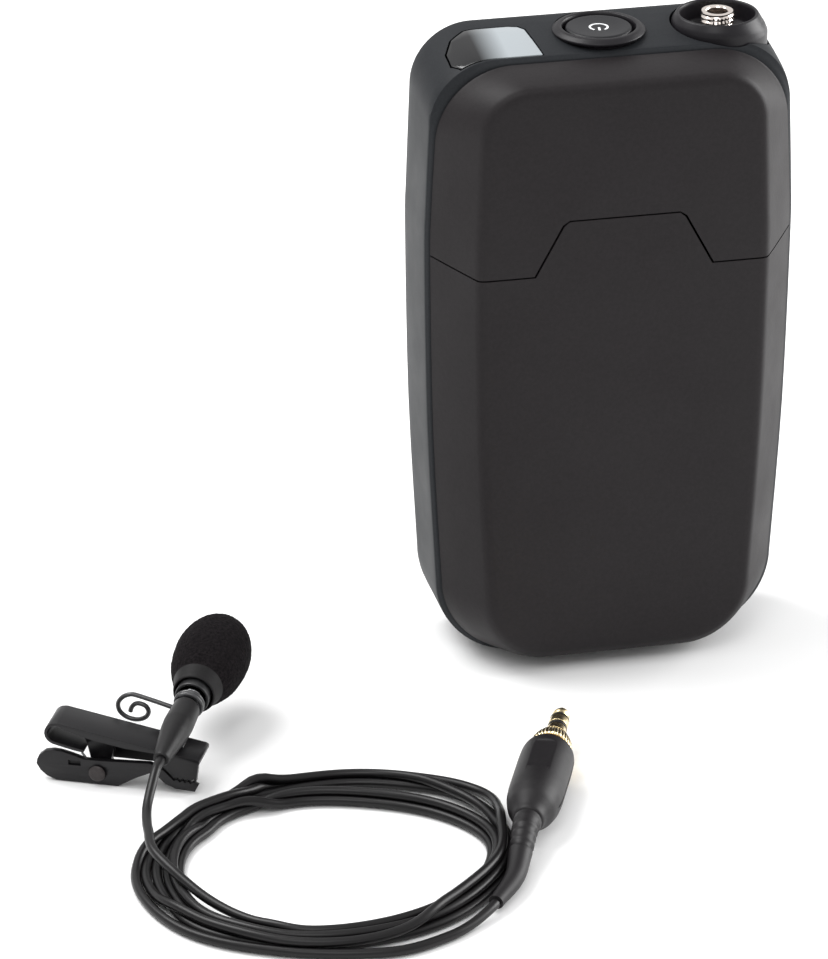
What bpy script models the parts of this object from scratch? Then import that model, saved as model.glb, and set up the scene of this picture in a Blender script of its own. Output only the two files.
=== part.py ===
"""Wireless lavalier microphone: clip-on capsule with windshield and tie clip, thin coiled lead with a
screw-locking jack plug, and the belt-pack transmitter that it plugs into.

X runs across the belt pack, +Y goes to its belt side, +Z is up.  The origin is on the pack's flat foot."""

import math

import bpy
import bmesh
from mathutils import Matrix, Vector

MM = 0.001
GAP = 0.3 * MM                      # clearance between pieces that touch

# ---- belt pack
SEAM_Y = -2.5 * MM                  # parting plane between the front and rear mouldings
FRONT_Y = -12.5 * MM
BACK_Y = 15.5 * MM
SPLIT_Z = 77.5 * MM                 # front cover above, battery door below
HALF_MID = 33.3 * MM                # half width at the split
HALF_FOOT = 31.1 * MM
HALF_TOP = 32.5 * MM
SHOULDER_Z = 97.0 * MM
TAB_BASE = 16.0 * MM                # half width of the battery door's raised tab
TAB_TOP = 10.4 * MM
TAB_HEIGHT = 10.0 * MM
TOP_CENTRE_Y = 6.2 * MM             # the button's and the socket's common depth
BUTTON_X = -0.4 * MM
SOCKET_X = 21.0 * MM
BUTTON_TRAVEL = 0.8 * MM

# ---- batteries
CELL_RADIUS = 7.1 * MM
CELL_LENGTH = 49.2 * MM
CELL_X = 7.6 * MM
CELL_Y = -2.9 * MM

# ---- tie clip, in its own frame: x along the levers, y away from the viewer, z up
CLIP_PLACE = Vector((-95.7, -37.7, 0.0)) * MM
CLIP_YAW = math.radians(-25.0)
CLIP_WIDTH = 7.4 * MM
PIVOT = (-3.6 * MM, 2.2 * MM)

# ---- microphone axis, from the cable end of the boot towards the windshield
BOOT_END = Vector((-89.95, -48.35, 9.9)) * MM
MIC_AZIMUTH = math.radians(25.5)
MIC_RISE = math.radians(4.0)
LIP_S = 20.6 * MM                   # the housing's open lip, measured along the axis
FOAM_RADIUS = 6.65 * MM
FOAM_WIDEST_S = 34.8 * MM
FOAM_AHEAD = 10.6 * MM             # from the widest place to the tip
FOAM_BEHIND = 12.9 * MM            # the flatter half towards the lip

# ---- lead and plug
LEAD_RADIUS = 0.85 * MM
COIL_CENTRE = Vector((-67.5, -73.5, 0.0)) * MM
COIL_TURN = math.radians(39.0)      # direction of the coil's long axis
COIL_OUTER = 34.0 * MM
COIL_INNER = 26.0 * MM
COIL_SQUASH = 0.865                 # short axis over long axis
COIL_HEIGHT = 4.6 * MM
PLUG_TIP = Vector((-16.2, -36.3, 4.9)) * MM
PLUG_AZIMUTH = math.radians(22.3)

parts = bpy.data.collections.new("wireless_lavalier_microphone")
cutters = bpy.data.collections.new("cutters")


# ------------------------------------------------------------------ helpers

def finish(obj, name, colour, roughness, metallic=0.0, smooth=True):
    """Names the object, gives it its own material and files it with the parts."""
    obj.name = name
    material = bpy.data.materials.new(name)
    material.use_nodes = True
    shader = material.node_tree.nodes["Principled BSDF"]
    shader.inputs["Base Color"].default_value = (*colour, 1.0)
    shader.inputs["Roughness"].default_value = roughness
    shader.inputs["Metallic"].default_value = metallic
    obj.data.materials.clear()
    obj.data.materials.append(material)
    if smooth and obj.type == 'MESH':
        obj.data.shade_smooth()
        obj.data.set_sharp_from_angle(angle=math.radians(35))
    if not obj.users_collection:
        parts.objects.link(obj)
    return obj


def mesh_object(bm, name):
    mesh = bpy.data.meshes.new(name)
    bm.to_mesh(mesh)
    bm.free()
    return bpy.data.objects.new(name, mesh)


def as_cutter(obj):
    obj.hide_render = True
    obj.display_type = 'WIRE'
    cutters.objects.link(obj)
    return obj


def boolean(obj, tool, operation='DIFFERENCE'):
    modifier = obj.modifiers.new(tool.name, 'BOOLEAN')
    modifier.operation = operation
    modifier.object = tool
    modifier.solver = 'EXACT'
    return obj


def box(low, high, name="box"):
    """A cube stretched to the two corners."""
    bm = bmesh.new()
    bmesh.ops.create_cube(bm, size=1.0)
    low, high = Vector(low), Vector(high)
    bmesh.ops.scale(bm, vec=high - low, verts=bm.verts)
    bmesh.ops.translate(bm, vec=(low + high) / 2, verts=bm.verts)
    return mesh_object(bm, name)


def bevel(obj, width, segments=2, angle=35):
    modifier = obj.modifiers.new("edges", 'BEVEL')
    modifier.width = width
    modifier.segments = segments
    modifier.limit_method = 'ANGLE'
    modifier.angle_limit = math.radians(angle)
    return obj


def cylinder(radius, z_low, z_high, sides=24, name="cylinder"):
    bm = bmesh.new()
    bmesh.ops.create_cone(bm, cap_ends=True, segments=sides, radius1=radius, radius2=radius,
                          depth=z_high - z_low)
    bmesh.ops.translate(bm, vec=(0, 0, (z_low + z_high) / 2), verts=bm.verts)
    return mesh_object(bm, name)


def turned(profile, steps=24, closed=False, name="turned"):
    """Screws a profile of (radius, height) pairs about Z; it runs down its outer side, top to bottom."""
    mesh = bpy.data.meshes.new(name)
    edges = [(i, i + 1) for i in range(len(profile) - 1)]
    if closed:
        edges.append((len(profile) - 1, 0))
    mesh.from_pydata([(r, 0, z) for r, z in profile], edges, [])
    obj = bpy.data.objects.new(name, mesh)
    modifier = obj.modifiers.new("turn", 'SCREW')
    modifier.steps = steps
    modifier.render_steps = steps
    modifier.use_merge_vertices = True
    modifier.merge_threshold = 0.00001
    modifier.use_smooth_shade = True
    return obj


def curve_object(name, points, radius, resolution=2):
    """A round wire through the points, with closed ends."""
    curve = bpy.data.curves.new(name, 'CURVE')
    curve.dimensions = '3D'
    curve.bevel_depth = radius
    curve.bevel_resolution = resolution
    curve.use_fill_caps = True
    spline = curve.splines.new('POLY')
    spline.points.add(len(points) - 1)
    for spot, place in zip(spline.points, points):
        spot.co = (*place, 1.0)
    return bpy.data.objects.new(name, curve)


def plate(outline, thickness, name="plate"):
    """A flat closed outline in XY as a solid mesh from z = 0 up to its thickness."""
    curve = bpy.data.curves.new(name, 'CURVE')
    curve.dimensions = '2D'
    curve.fill_mode = 'BOTH'
    curve.extrude = thickness / 2
    spline = curve.splines.new('POLY')
    spline.points.add(len(outline) - 1)
    for spot, (x, y) in zip(spline.points, outline):
        spot.co = (x, y, 0, 1)
    spline.use_cyclic_u = True
    source = bpy.data.objects.new(name, curve)
    obj = curve_to_mesh(source, name)
    obj.data.transform(Matrix.Translation((0, 0, thickness / 2)))
    return obj


def curve_to_mesh(source, name):
    """The curve's evaluated shape as a closed mesh object at the same place."""
    bpy.context.scene.collection.objects.link(source)
    graph = bpy.context.evaluated_depsgraph_get()
    mesh = bpy.data.meshes.new_from_object(source.evaluated_get(graph))
    bm = bmesh.new()
    bm.from_mesh(mesh)
    bmesh.ops.remove_doubles(bm, verts=bm.verts, dist=0.000001)
    bmesh.ops.recalc_face_normals(bm, faces=bm.faces)
    bm.to_mesh(mesh)
    bm.free()
    obj = bpy.data.objects.new(name, mesh)
    obj.matrix_world = source.matrix_world
    bpy.data.objects.remove(source)
    return obj


def loft(sections, name, cap_first=False, cap_last=True):
    """Joins rings of points of equal count with quads."""
    bm = bmesh.new()
    rings = [[bm.verts.new(p) for p in ring] for ring in sections]
    count = len(rings[0])
    for near, far in zip(rings, rings[1:]):
        for i in range(count):
            j = (i + 1) % count
            bm.faces.new((near[i], near[j], far[j], far[i]))
    if cap_first:
        bm.faces.new(reversed(rings[0]))
    if cap_last:
        bm.faces.new(rings[-1])
    return mesh_object(bm, name)


def arc(cx, cz, radius, start, end, count):
    """Points on an arc, angles in degrees."""
    step = (end - start) / count
    angles = [math.radians(start + step * i) for i in range(count + 1)]
    return [(cx + radius * math.cos(a), cz + radius * math.sin(a)) for a in angles]


def smooth_path(anchors, spacing):
    """Catmull-Rom points through the anchors, about one every spacing."""
    points = []
    padded = [anchors[0] * 2 - anchors[1], *anchors, anchors[-1] * 2 - anchors[-2]]
    for a, b, c, d in zip(padded, padded[1:], padded[2:], padded[3:]):
        count = max(2, round((c - b).length / spacing))
        for i in range(count):
            t = i / count
            spot = b * 2 + (c - a) * t
            spot += (a * 2 - b * 5 + c * 4 - d) * t * t
            spot += (b * 3 - a - c * 3 + d) * t ** 3
            points.append(spot / 2)
    points.append(anchors[-1])
    return points


# ------------------------------------------------------------------ belt pack

def pack_ring(y, inset, top, bottom, top_radius, foot_radius):
    """The pack's outline at depth y: slightly barrelled sides, large round corners."""
    mid, side, foot = HALF_MID - inset, HALF_TOP - inset, HALF_FOOT - inset
    right = arc(foot - foot_radius, bottom + foot_radius, foot_radius, -90, 0, 6)
    right += [(mid - 0.6 * MM, 45 * MM), (mid, SPLIT_Z), (mid - 0.2 * MM, 88 * MM)]
    right += arc(side - top_radius, top - top_radius, top_radius, 0, 90, 7)
    left = [(-x, z) for x, z in reversed(right)]
    return [(x, y, z) for x, z in right + left]


def dish(inner, outer, name):
    """A moulding open on one side: rows run from the inner floor to the rim, then to the outer face."""
    rings = []
    for y, inset, top, bottom, top_radius, foot_radius in inner + outer:
        rings.append(pack_ring(y * MM, inset * MM, top * MM, bottom * MM, top_radius * MM, foot_radius * MM))
    if outer[-1][0] > outer[0][0]:
        rings = [list(reversed(ring)) for ring in rings]
    return loft(rings, name, cap_first=True)


def rear_dish(name):
    """Rear moulding, from the parting plane back to the flat belt side."""
    inner = [
        (13.9, 2.6, 113.2, 2.6, 8.6, 12.4), (13.2, 1.7, 114.0, 1.7, 9.4, 13.3),
        (5.0, 1.6, 113.5, 1.6, 9.4, 13.4), (-0.8, 1.6, 112.7, 1.6, 9.8, 13.4),
        (-2.35, 2.3, 111.9, 2.2, 12.4, 14.0)]
    outer = [
        (-2.35, 0.7, 113.5, 0.6, 14.0, 15.6), (-1.7, 0.2, 114.0, 0.15, 12.4, 15.2),
        (-0.8, 0.0, 114.3, 0.0, 11.4, 15.0), (5.0, 0.0, 115.1, 0.0, 11.0, 15.0),
        (13.6, 0.0, 115.8, 0.0, 11.0, 15.0), (14.9, 0.5, 115.3, 0.5, 10.6, 14.5),
        (15.5, 1.8, 114.0, 1.8, 9.4, 13.2)]
    return dish(inner, outer, name)


def front_dish(name):
    """Front moulding: bevelled flanks round a flat front face."""
    inner = [
        (-11.0, 9.3, 109.7, 6.8, 6.8, 9.8), (-10.5, 8.2, 110.8, 5.4, 7.6, 10.8),
        (-7.8, 6.1, 111.5, 3.5, 9.4, 12.6), (-2.65, 2.4, 112.0, 2.2, 12.4, 14.9)]
    outer = [
        (-2.65, 0.7, 113.5, 0.6, 14.0, 15.6), (-3.2, 1.0, 113.45, 0.7, 13.8, 15.4),
        (-8.5, 4.6, 113.0, 1.6, 10.6, 13.8), (-11.6, 6.8, 112.3, 3.1, 8.8, 12.0),
        (-12.3, 7.6, 111.5, 4.3, 8.0, 11.0), (-12.5, 8.6, 110.4, 5.6, 7.0, 10.0)]
    return dish(inner, outer, name)


def split_outline(shift):
    """Everything below the stepped joint between front cover and battery door, in X and Z."""
    z = SPLIT_Z + shift
    side = 36 * MM
    edge = 26 * MM
    lift = 2.6 * MM
    return [
        (-side, -5 * MM), (side, -5 * MM), (side, z + lift), (edge, z),
        (TAB_BASE + shift, z), (TAB_TOP + 0.6 * MM + shift, z + TAB_HEIGHT - 0.8 * MM),
        (TAB_TOP - 0.5 * MM, z + TAB_HEIGHT), (-TAB_TOP + 0.5 * MM, z + TAB_HEIGHT),
        (-TAB_TOP - 0.6 * MM - shift, z + TAB_HEIGHT - 0.8 * MM), (-TAB_BASE - shift, z),
        (-edge, z), (-side, z + lift)]


def split_tool(shift, name):
    tool = plate(split_outline(shift), 14 * MM, name)
    tool.data.transform(Matrix.Rotation(math.radians(90), 4, 'X'))
    tool.data.transform(Matrix.Translation((0, SEAM_Y + 2 * MM, 0)))
    return as_cutter(tool)


def front_mouldings():
    """Front cover and battery door: one dish parted along a stepped line."""
    door = front_dish("door")
    boolean(door, split_tool(-GAP / 2, "door_keep"), 'INTERSECT')
    finish(door, "battery_door", (0.045, 0.043, 0.046), 0.5)
    cover = front_dish("cover")
    boolean(cover, split_tool(GAP / 2, "door_room"))
    finish(cover, "front_cover", (0.045, 0.043, 0.046), 0.5)


def window_outline(grow):
    """Plan view of the status window, which wraps over the pack's top left corner."""
    left, right, near, far = -27.8 * MM - grow, -12.2 * MM + grow, -0.9 * MM - grow, 10.3 * MM + grow
    return [
        (left + 1.3 * MM, near), (right, near), (right - 1.0 * MM, far - 1.6 * MM),
        (right - 2.0 * MM, far - 0.4 * MM), (right - 3.6 * MM, far), (left + 4.2 * MM, far),
        (left + 1.6 * MM, far - 1.6 * MM), (left, far - 5.0 * MM), (left, near + 2.4 * MM)]


def window_tool(grow, z_low, name):
    tool = plate(window_outline(grow), 125 * MM - z_low, name)
    tool.data.transform(Matrix.Translation((0, 0, z_low)))
    return as_cutter(tool)


def hole_tool(x, y, z_low, radius, name, depth=20 * MM):
    tool = cylinder(radius, z_low, z_low + depth, 32, name)
    tool.data.transform(Matrix.Translation((x, y, 0)))
    return as_cutter(tool)


def rear_moulding():
    shell = rear_dish("shell")
    boolean(shell, window_tool(GAP, 105 * MM, "window_room"))
    boolean(shell, hole_tool(BUTTON_X, TOP_CENTRE_Y, 109 * MM, BEZEL_OUTER + GAP, "bezel_room"))
    boolean(shell, hole_tool(SOCKET_X, TOP_CENTRE_Y, 100 * MM, COLLAR_OUTER + GAP, "collar_room"))
    for side in (-1, 1):
        ends = sorted((side * LUG_INNER, side * LUG_OUTER))
        lug = box((ends[0], 14.1 * MM, BELT_PIN_Z - 2.2 * MM), (ends[1], 19.8 * MM, BELT_PIN_Z + 2.2 * MM))
        bevel(lug, 1.2 * MM, 3)
        boolean(shell, as_cutter(lug), 'UNION')
        pin = cylinder(BELT_WIRE + GAP, 20 * MM, 30 * MM, 16, "belt_pin_room")
        pin.data.transform(Matrix.Rotation(math.radians(90 * side), 4, 'Y'))
        pin.data.transform(Matrix.Translation((0, BELT_PIN_Y, BELT_PIN_Z)))
        boolean(shell, as_cutter(pin))
        screw = turned(screw_profile(GAP), 16, name="screw_room")
        screw.matrix_world = screw_place(side)
        boolean(shell, as_cutter(screw))
    finish(shell, "rear_shell", (0.075, 0.083, 0.09), 0.45)
    window = rear_dish("window")
    boolean(window, window_tool(0, 105 * MM, "window_keep"), 'INTERSECT')
    finish(window, "status_window", (0.02, 0.022, 0.025), 0.08)


# round fittings on the pack's top
BEZEL_OUTER = 8.3 * MM
BEZEL_INNER = 6.4 * MM
BUTTON_RADIUS = 5.9 * MM
COLLAR_OUTER = 8.1 * MM
COLLAR_INNER = 6.55 * MM
SLEEVE_OUTER = 2.95 * MM
SLEEVE_BORE = 1.85 * MM
STEM_RADIUS = 1.5 * MM
STEM_FOOT_Z = 105.4 * MM


def top_fittings():
    bezel = turned([
        (BEZEL_INNER, 115.9 * MM), (BEZEL_INNER + 0.4 * MM, 116.3 * MM), (7.2 * MM, 116.35 * MM),
        (7.9 * MM, 115.9 * MM), (BEZEL_OUTER, 115.3 * MM), (BEZEL_OUTER, 112.2 * MM),
        (BEZEL_INNER, 112.2 * MM)], 40, True)
    bezel.location = (BUTTON_X, TOP_CENTRE_Y, 0)
    finish(bezel, "button_bezel", (0.05, 0.052, 0.056), 0.5)

    button = turned([
        (0, 115.75 * MM), (3.5 * MM, 115.85 * MM), (5.4 * MM, 116.0 * MM), (BUTTON_RADIUS, 115.6 * MM),
        (BUTTON_RADIUS, 113.4 * MM), (STEM_RADIUS, 113.4 * MM), (STEM_RADIUS, STEM_FOOT_Z),
        (0, STEM_FOOT_Z)], 40)
    button.location = (BUTTON_X, TOP_CENTRE_Y, 0)
    finish(button, "power_button", (0.075, 0.08, 0.085), 0.5)

    collar = turned([
        (COLLAR_INNER, 116.5 * MM), (COLLAR_INNER + 0.3 * MM, 116.9 * MM), (7.1 * MM, 116.8 * MM),
        (7.9 * MM, 115.6 * MM), (COLLAR_OUTER, 114.9 * MM), (COLLAR_OUTER, 104.5 * MM),
        (SLEEVE_OUTER + GAP, 104.5 * MM), (SLEEVE_OUTER + GAP, 111.6 * MM), (5.6 * MM, 112.2 * MM),
        (COLLAR_INNER, 113.6 * MM)], 40, True)
    collar.location = (SOCKET_X, TOP_CENTRE_Y, 0)
    finish(collar, "socket_collar", (0.05, 0.05, 0.053), 0.5)

    thread = [(SLEEVE_BORE, 117.2 * MM), (SLEEVE_OUTER - 0.3 * MM, 117.2 * MM)]
    turns = 6
    for i in range(turns):
        crest = 116.8 * MM - i * 0.8 * MM
        thread += [(SLEEVE_OUTER, crest), (SLEEVE_OUTER - 0.3 * MM, crest - 0.4 * MM)]
    thread += [(SLEEVE_OUTER - 0.3 * MM, 103.4 * MM), (SLEEVE_BORE, 103.4 * MM)]
    sleeve = turned(thread, 32, True)
    sleeve.location = (SOCKET_X, TOP_CENTRE_Y, 0)
    finish(sleeve, "socket_sleeve", (0.8, 0.78, 0.75), 0.25, 1.0)

    body = box((SOCKET_X - 5.5 * MM, TOP_CENTRE_Y - 5 * MM, 88 * MM),
               (SOCKET_X + 5.5 * MM, TOP_CENTRE_Y + 5 * MM, 103 * MM))
    bore = as_cutter(hole_tool_free(SOCKET_X, TOP_CENTRE_Y, 90 * MM, SLEEVE_BORE, "jack_bore"))
    boolean(body, bore)
    finish(body, "socket_body", (0.03, 0.03, 0.03), 0.5, smooth=False)


def hole_tool_free(x, y, z_low, radius, name):
    tool = cylinder(radius, z_low, z_low + 20 * MM, 20, name)
    tool.data.transform(Matrix.Translation((x, y, 0)))
    return tool


# ------------------------------------------------------------------ inside the pack

TRAY_HALF = 16.6 * MM
TRAY_LOW = 8.6 * MM
TRAY_HIGH = 68.4 * MM
TRAY_FRONT = -9.5 * MM
TRAY_BACK = 6.0 * MM
TRAY_WALL = 1.2 * MM
FLOOR_Z = TRAY_LOW + TRAY_WALL
CEILING_Z = TRAY_HIGH - TRAY_WALL


def battery_bay():
    tray = box((-TRAY_HALF, TRAY_FRONT, TRAY_LOW), (TRAY_HALF, TRAY_BACK, TRAY_HIGH))
    room = box((-TRAY_HALF + TRAY_WALL, TRAY_FRONT - 2 * MM, FLOOR_Z),
               (TRAY_HALF - TRAY_WALL, TRAY_BACK - TRAY_WALL, CEILING_Z), "tray_room")
    boolean(tray, as_cutter(room))
    finish(tray, "battery_tray", (0.03, 0.03, 0.032), 0.6, smooth=False)
    for side, name in ((-1, "left"), (1, "right")):
        cell = turned([
            (0, CELL_LENGTH + 1.2 * MM), (2.7 * MM, CELL_LENGTH + 1.2 * MM), (2.7 * MM, CELL_LENGTH),
            (CELL_RADIUS - 0.5 * MM, CELL_LENGTH), (CELL_RADIUS, CELL_LENGTH - 0.5 * MM),
            (CELL_RADIUS, 0.5 * MM), (CELL_RADIUS - 0.5 * MM, 0), (0, 0)], 24)
        spring_room = 5.2 * MM
        if side < 0:
            cell.location = (CELL_X * side, CELL_Y, FLOOR_Z + spring_room)
        else:
            cell.location = (CELL_X * side, CELL_Y, CEILING_Z - spring_room)
            cell.rotation_euler = (math.pi, 0, 0)
        finish(cell, "battery_" + name, (0.12, 0.12, 0.13), 0.3, 0.6)
        spring = curve_object("spring", spring_points(side), 0.35 * MM, 0)
        finish(spring, "battery_spring_" + name, (0.75, 0.74, 0.72), 0.3, 1.0)
        low = FLOOR_Z + GAP if side > 0 else CEILING_Z - GAP - 0.4 * MM
        contact = box((CELL_X * side - 4 * MM, CELL_Y - 4 * MM, low),
                      (CELL_X * side + 4 * MM, CELL_Y + 4 * MM, low + 0.4 * MM))
        finish(contact, "battery_contact_" + name, (0.75, 0.74, 0.72), 0.3, 1.0, False)


def spring_points(side):
    """A conical coil from the tray's end wall to just short of the cell."""
    turns, per_turn, height = 3.0, 10, 4.1 * MM
    count = int(turns * per_turn)
    points = []
    for i in range(count + 1):
        t = i / count
        radius = 4.2 * MM - 1.7 * MM * t
        angle = 2 * math.pi * turns * t
        z = (FLOOR_Z + 0.7 * MM + height * t) if side < 0 else (CEILING_Z - 0.7 * MM - height * t)
        x = CELL_X * side + radius * math.cos(angle)
        points.append((x, CELL_Y + radius * math.sin(angle), z))
    return points


BOARD_BACK = 13.0 * MM
BOARD_THICK = 1.2 * MM
BOARD_FRONT = BOARD_BACK - BOARD_THICK


def electronics():
    board = box((-28 * MM, BOARD_FRONT, 72 * MM), (13.5 * MM, BOARD_BACK, 106 * MM))
    finish(board, "main_board", (0.02, 0.12, 0.06), 0.5, smooth=False)
    shield = box((-26 * MM, 7.8 * MM, 76 * MM), (-8 * MM, BOARD_FRONT - GAP, 98 * MM))
    bevel(shield, 0.6 * MM, 1)
    finish(shield, "rf_shield", (0.7, 0.7, 0.7), 0.3, 1.0, False)
    switch = box((BUTTON_X - 3.1 * MM, 3.2 * MM, 98.5 * MM),
                 (BUTTON_X + 3.1 * MM, BOARD_FRONT - GAP, 102.4 * MM))
    plunger = cylinder(1.7 * MM, 102 * MM, STEM_FOOT_Z - BUTTON_TRAVEL - GAP, 16, "plunger")
    plunger.data.transform(Matrix.Translation((BUTTON_X, TOP_CENTRE_Y, 0)))
    boolean(switch, as_cutter(plunger), 'UNION')
    finish(switch, "tact_switch", (0.04, 0.04, 0.04), 0.5, smooth=False)
    light = box((-22 * MM, 4.5 * MM, 101 * MM), (-18 * MM, BOARD_FRONT - GAP, 104 * MM))
    bevel(light, 0.5 * MM, 1)
    finish(light, "status_light", (0.8, 0.85, 0.8), 0.3, smooth=False)
    route = [(15.6, 12.4, 86), (28.4, 12.4, 86), (28.4, 12.4, 40), (24.0, 12.4, 36), (19.0, 12.4, 36)]
    antenna = curve_object("antenna", [Vector(p) * MM for p in route], 0.6 * MM, 1)
    finish(antenna, "antenna", (0.75, 0.55, 0.3), 0.35, 1.0)


# ------------------------------------------------------------------ belt clip and case screws

BELT_WIRE = 1.0 * MM
BELT_PIN_Y = 17.6 * MM
BELT_PIN_Z = 109.3 * MM
LUG_INNER = 22.9 * MM
LUG_OUTER = 25.3 * MM


def belt_clip():
    """Sprung wire loop: its two ends turn in lugs on the case's back near the top."""
    half = [(-22.5, 17.6, 109.3), (-24.2, 17.6, 109.3), (-26.0, 17.6, 109.3), (-27.7, 17.7, 108.5),
            (-28.9, 18.1, 106.8), (-29.5, 18.9, 104.2), (-29.3, 20.2, 100.6), (-28.6, 21.2, 96.5),
            (-26.4, 21.3, 86), (-22.8, 21.3, 70), (-20.2, 21.3, 56), (-17.6, 21.5, 48.5),
            (-13.5, 22.0, 44.6), (-7.0, 22.5, 43.2), (0.0, 22.6, 43.0)]
    anchors = [Vector(p) * MM for p in half]
    anchors += [Vector((-p.x, p.y, p.z)) for p in reversed(anchors[:-1])]
    wire = curve_object("belt_clip", smooth_path(anchors, 4 * MM), BELT_WIRE, 2)
    finish(wire, "belt_clip", (0.06, 0.06, 0.065), 0.35, 0.8)


def screw_profile(grow):
    """Countersunk screw; its head's top is at z = 0 and it points down."""
    return [(0, 0.0), (2.3 * MM + grow, 0.0), (2.3 * MM + grow, -0.5 * MM - grow),
            (1.1 * MM + grow, -1.5 * MM - grow), (1.1 * MM + grow, -7 * MM - grow), (0, -7 * MM - grow)]


def screw_place(side):
    place = Matrix.Translation((side * 21.5 * MM, BACK_Y - 0.25 * MM, 66 * MM))
    return place @ Matrix.Rotation(math.radians(-90), 4, 'X')


def case_screws():
    for side, name in ((-1, "left"), (1, "right")):
        screw = turned(screw_profile(0), 16)
        cross = box((-1.3 * MM, -0.25 * MM, -0.6 * MM), (1.3 * MM, 0.25 * MM, 1 * MM), "slot_" + name)
        cross.matrix_world = screw_place(side)
        boolean(screw, as_cutter(cross))
        screw.matrix_world = screw_place(side)
        finish(screw, "case_screw_" + name, (0.3, 0.3, 0.31), 0.3, 1.0)


# ------------------------------------------------------------------ tie clip

def clip_matrix():
    return Matrix.Translation(CLIP_PLACE) @ Matrix.Rotation(CLIP_YAW, 4, 'Z')


def clip_slab(outline, y_low, y_high, name):
    """An outline in the clip's x and z, given in millimetres, as a slab across its width."""
    slab = plate([(x * MM, z * MM) for x, z in outline], y_high - y_low, name)
    slab.data.transform(Matrix.Rotation(math.radians(90), 4, 'X'))
    slab.data.transform(Matrix.Translation((0, y_high, 0)))
    return slab


def lever_top(x):
    """Height of the upper lever's top face, in millimetres."""
    return 8.95 - 0.178 * x


def teeth(lift):
    """The jaws' toothed meeting line from the tip inwards, then up to the neck, in millimetres."""
    points = []
    for i in range(4):
        x = 13.9 - 0.95 * i
        points += [(x, 1.75 + lift + 0.05 * i), (x - 0.47, 2.25 + lift + 0.05 * i)]
    return points + [(10.0, 2.1 + lift), (8.2, 3.9 + lift)]


def ring_in_clip(radius, name, y_low, y_high, sides=16):
    tool = cylinder(radius, y_low, y_high, sides, name)
    tool.data.transform(Matrix.Rotation(math.radians(-90), 4, 'X'))
    tool.data.transform(Matrix.Translation((PIVOT[0], 0, PIVOT[1])))
    return tool


def upper_lever():
    """Folded strip with a side plate, a jaw block under its tip and a web down to the pin."""
    px, pz = PIVOT[0] / MM, PIVOT[1] / MM
    strip = [(14.5, lever_top(14.5) - 0.75), (14.5, lever_top(14.5) - 0.2), (14.1, lever_top(14.1))]
    strip += [(-10.6, lever_top(-10.6))] + arc(-11.0, 8.78, 2.05, 90, 255, 9)
    strip += [(-9.7, 6.35), (-7.6, 5.9), (-6.1, 5.7), (-6.0, 6.15), (-7.5, 6.4), (-9.6, 6.85)]
    strip += arc(-11.0, 8.78, 1.55, 255, 90, 8)
    strip += [(-10.4, lever_top(-10.4) - 0.6)]
    lever = clip_slab(strip, 0.2 * MM, CLIP_WIDTH - 0.2 * MM, "upper_lever")
    side = [(14.4, lever_top(14.4) - 0.3), (-10.2, lever_top(-10.2) - 0.2), (-10.0, lever_top(-10.0) - 0.9)]
    side += [(-6.7, 8.8), (-3.8, 8.15), (1.3, 7.3), (6.5, 6.9), (7.7, 4.8)]
    side += list(reversed(teeth(0.45)))
    block = [(12.8, lever_top(12.8) - 0.4), (9.0, lever_top(9.0) - 0.4), (9.0, 3.6), (10.0, 2.75), (12.8, 2.75)]
    web = [(-0.6, lever_top(-0.6) - 0.4), (-8.0, lever_top(-8.0) - 0.4), (-6.2, 6.75), (-5.7, 4.6)]
    web += arc(px, pz, 1.75, 165, 385, 10)
    far_side = [(7.6, lever_top(7.6) - 0.3), (-4.6, lever_top(-4.6) - 0.3), (-4.6, 4.0), (-3.2, 2.2)]
    far_side += [(5.5, 2.2), (7.0, 4.2)]
    near = 0.2 * MM
    for outline, low, high in ((side, near, 1.3 * MM), (block, near + 0.3 * MM, 5.0 * MM),
                               (far_side, 6.2 * MM, CLIP_WIDTH - near - 0.05 * MM),
                               (web, 2.6 * MM, 4.8 * MM)):
        extra = as_cutter(clip_slab(outline, low, high, "lever_extra"))
        extra.matrix_world = clip_matrix()
        boolean(lever, extra, 'UNION')
    bore = as_cutter(ring_in_clip(PIN_RADIUS + GAP, "upper_bore", 1 * MM, 6 * MM))
    bore.matrix_world = clip_matrix()
    boolean(lever, bore)
    lever.matrix_world = clip_matrix()
    finish(lever, "clip_upper_lever", (0.055, 0.055, 0.058), 0.45)


PIN_RADIUS = 0.75 * MM
PIN_HEAD = 1.48 * MM


PIN_FAR = 5.7 * MM                  # outer end of the pin's hidden head, across the clip
PLATE = 1.1 * MM                    # the lower lever's side plate


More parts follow.
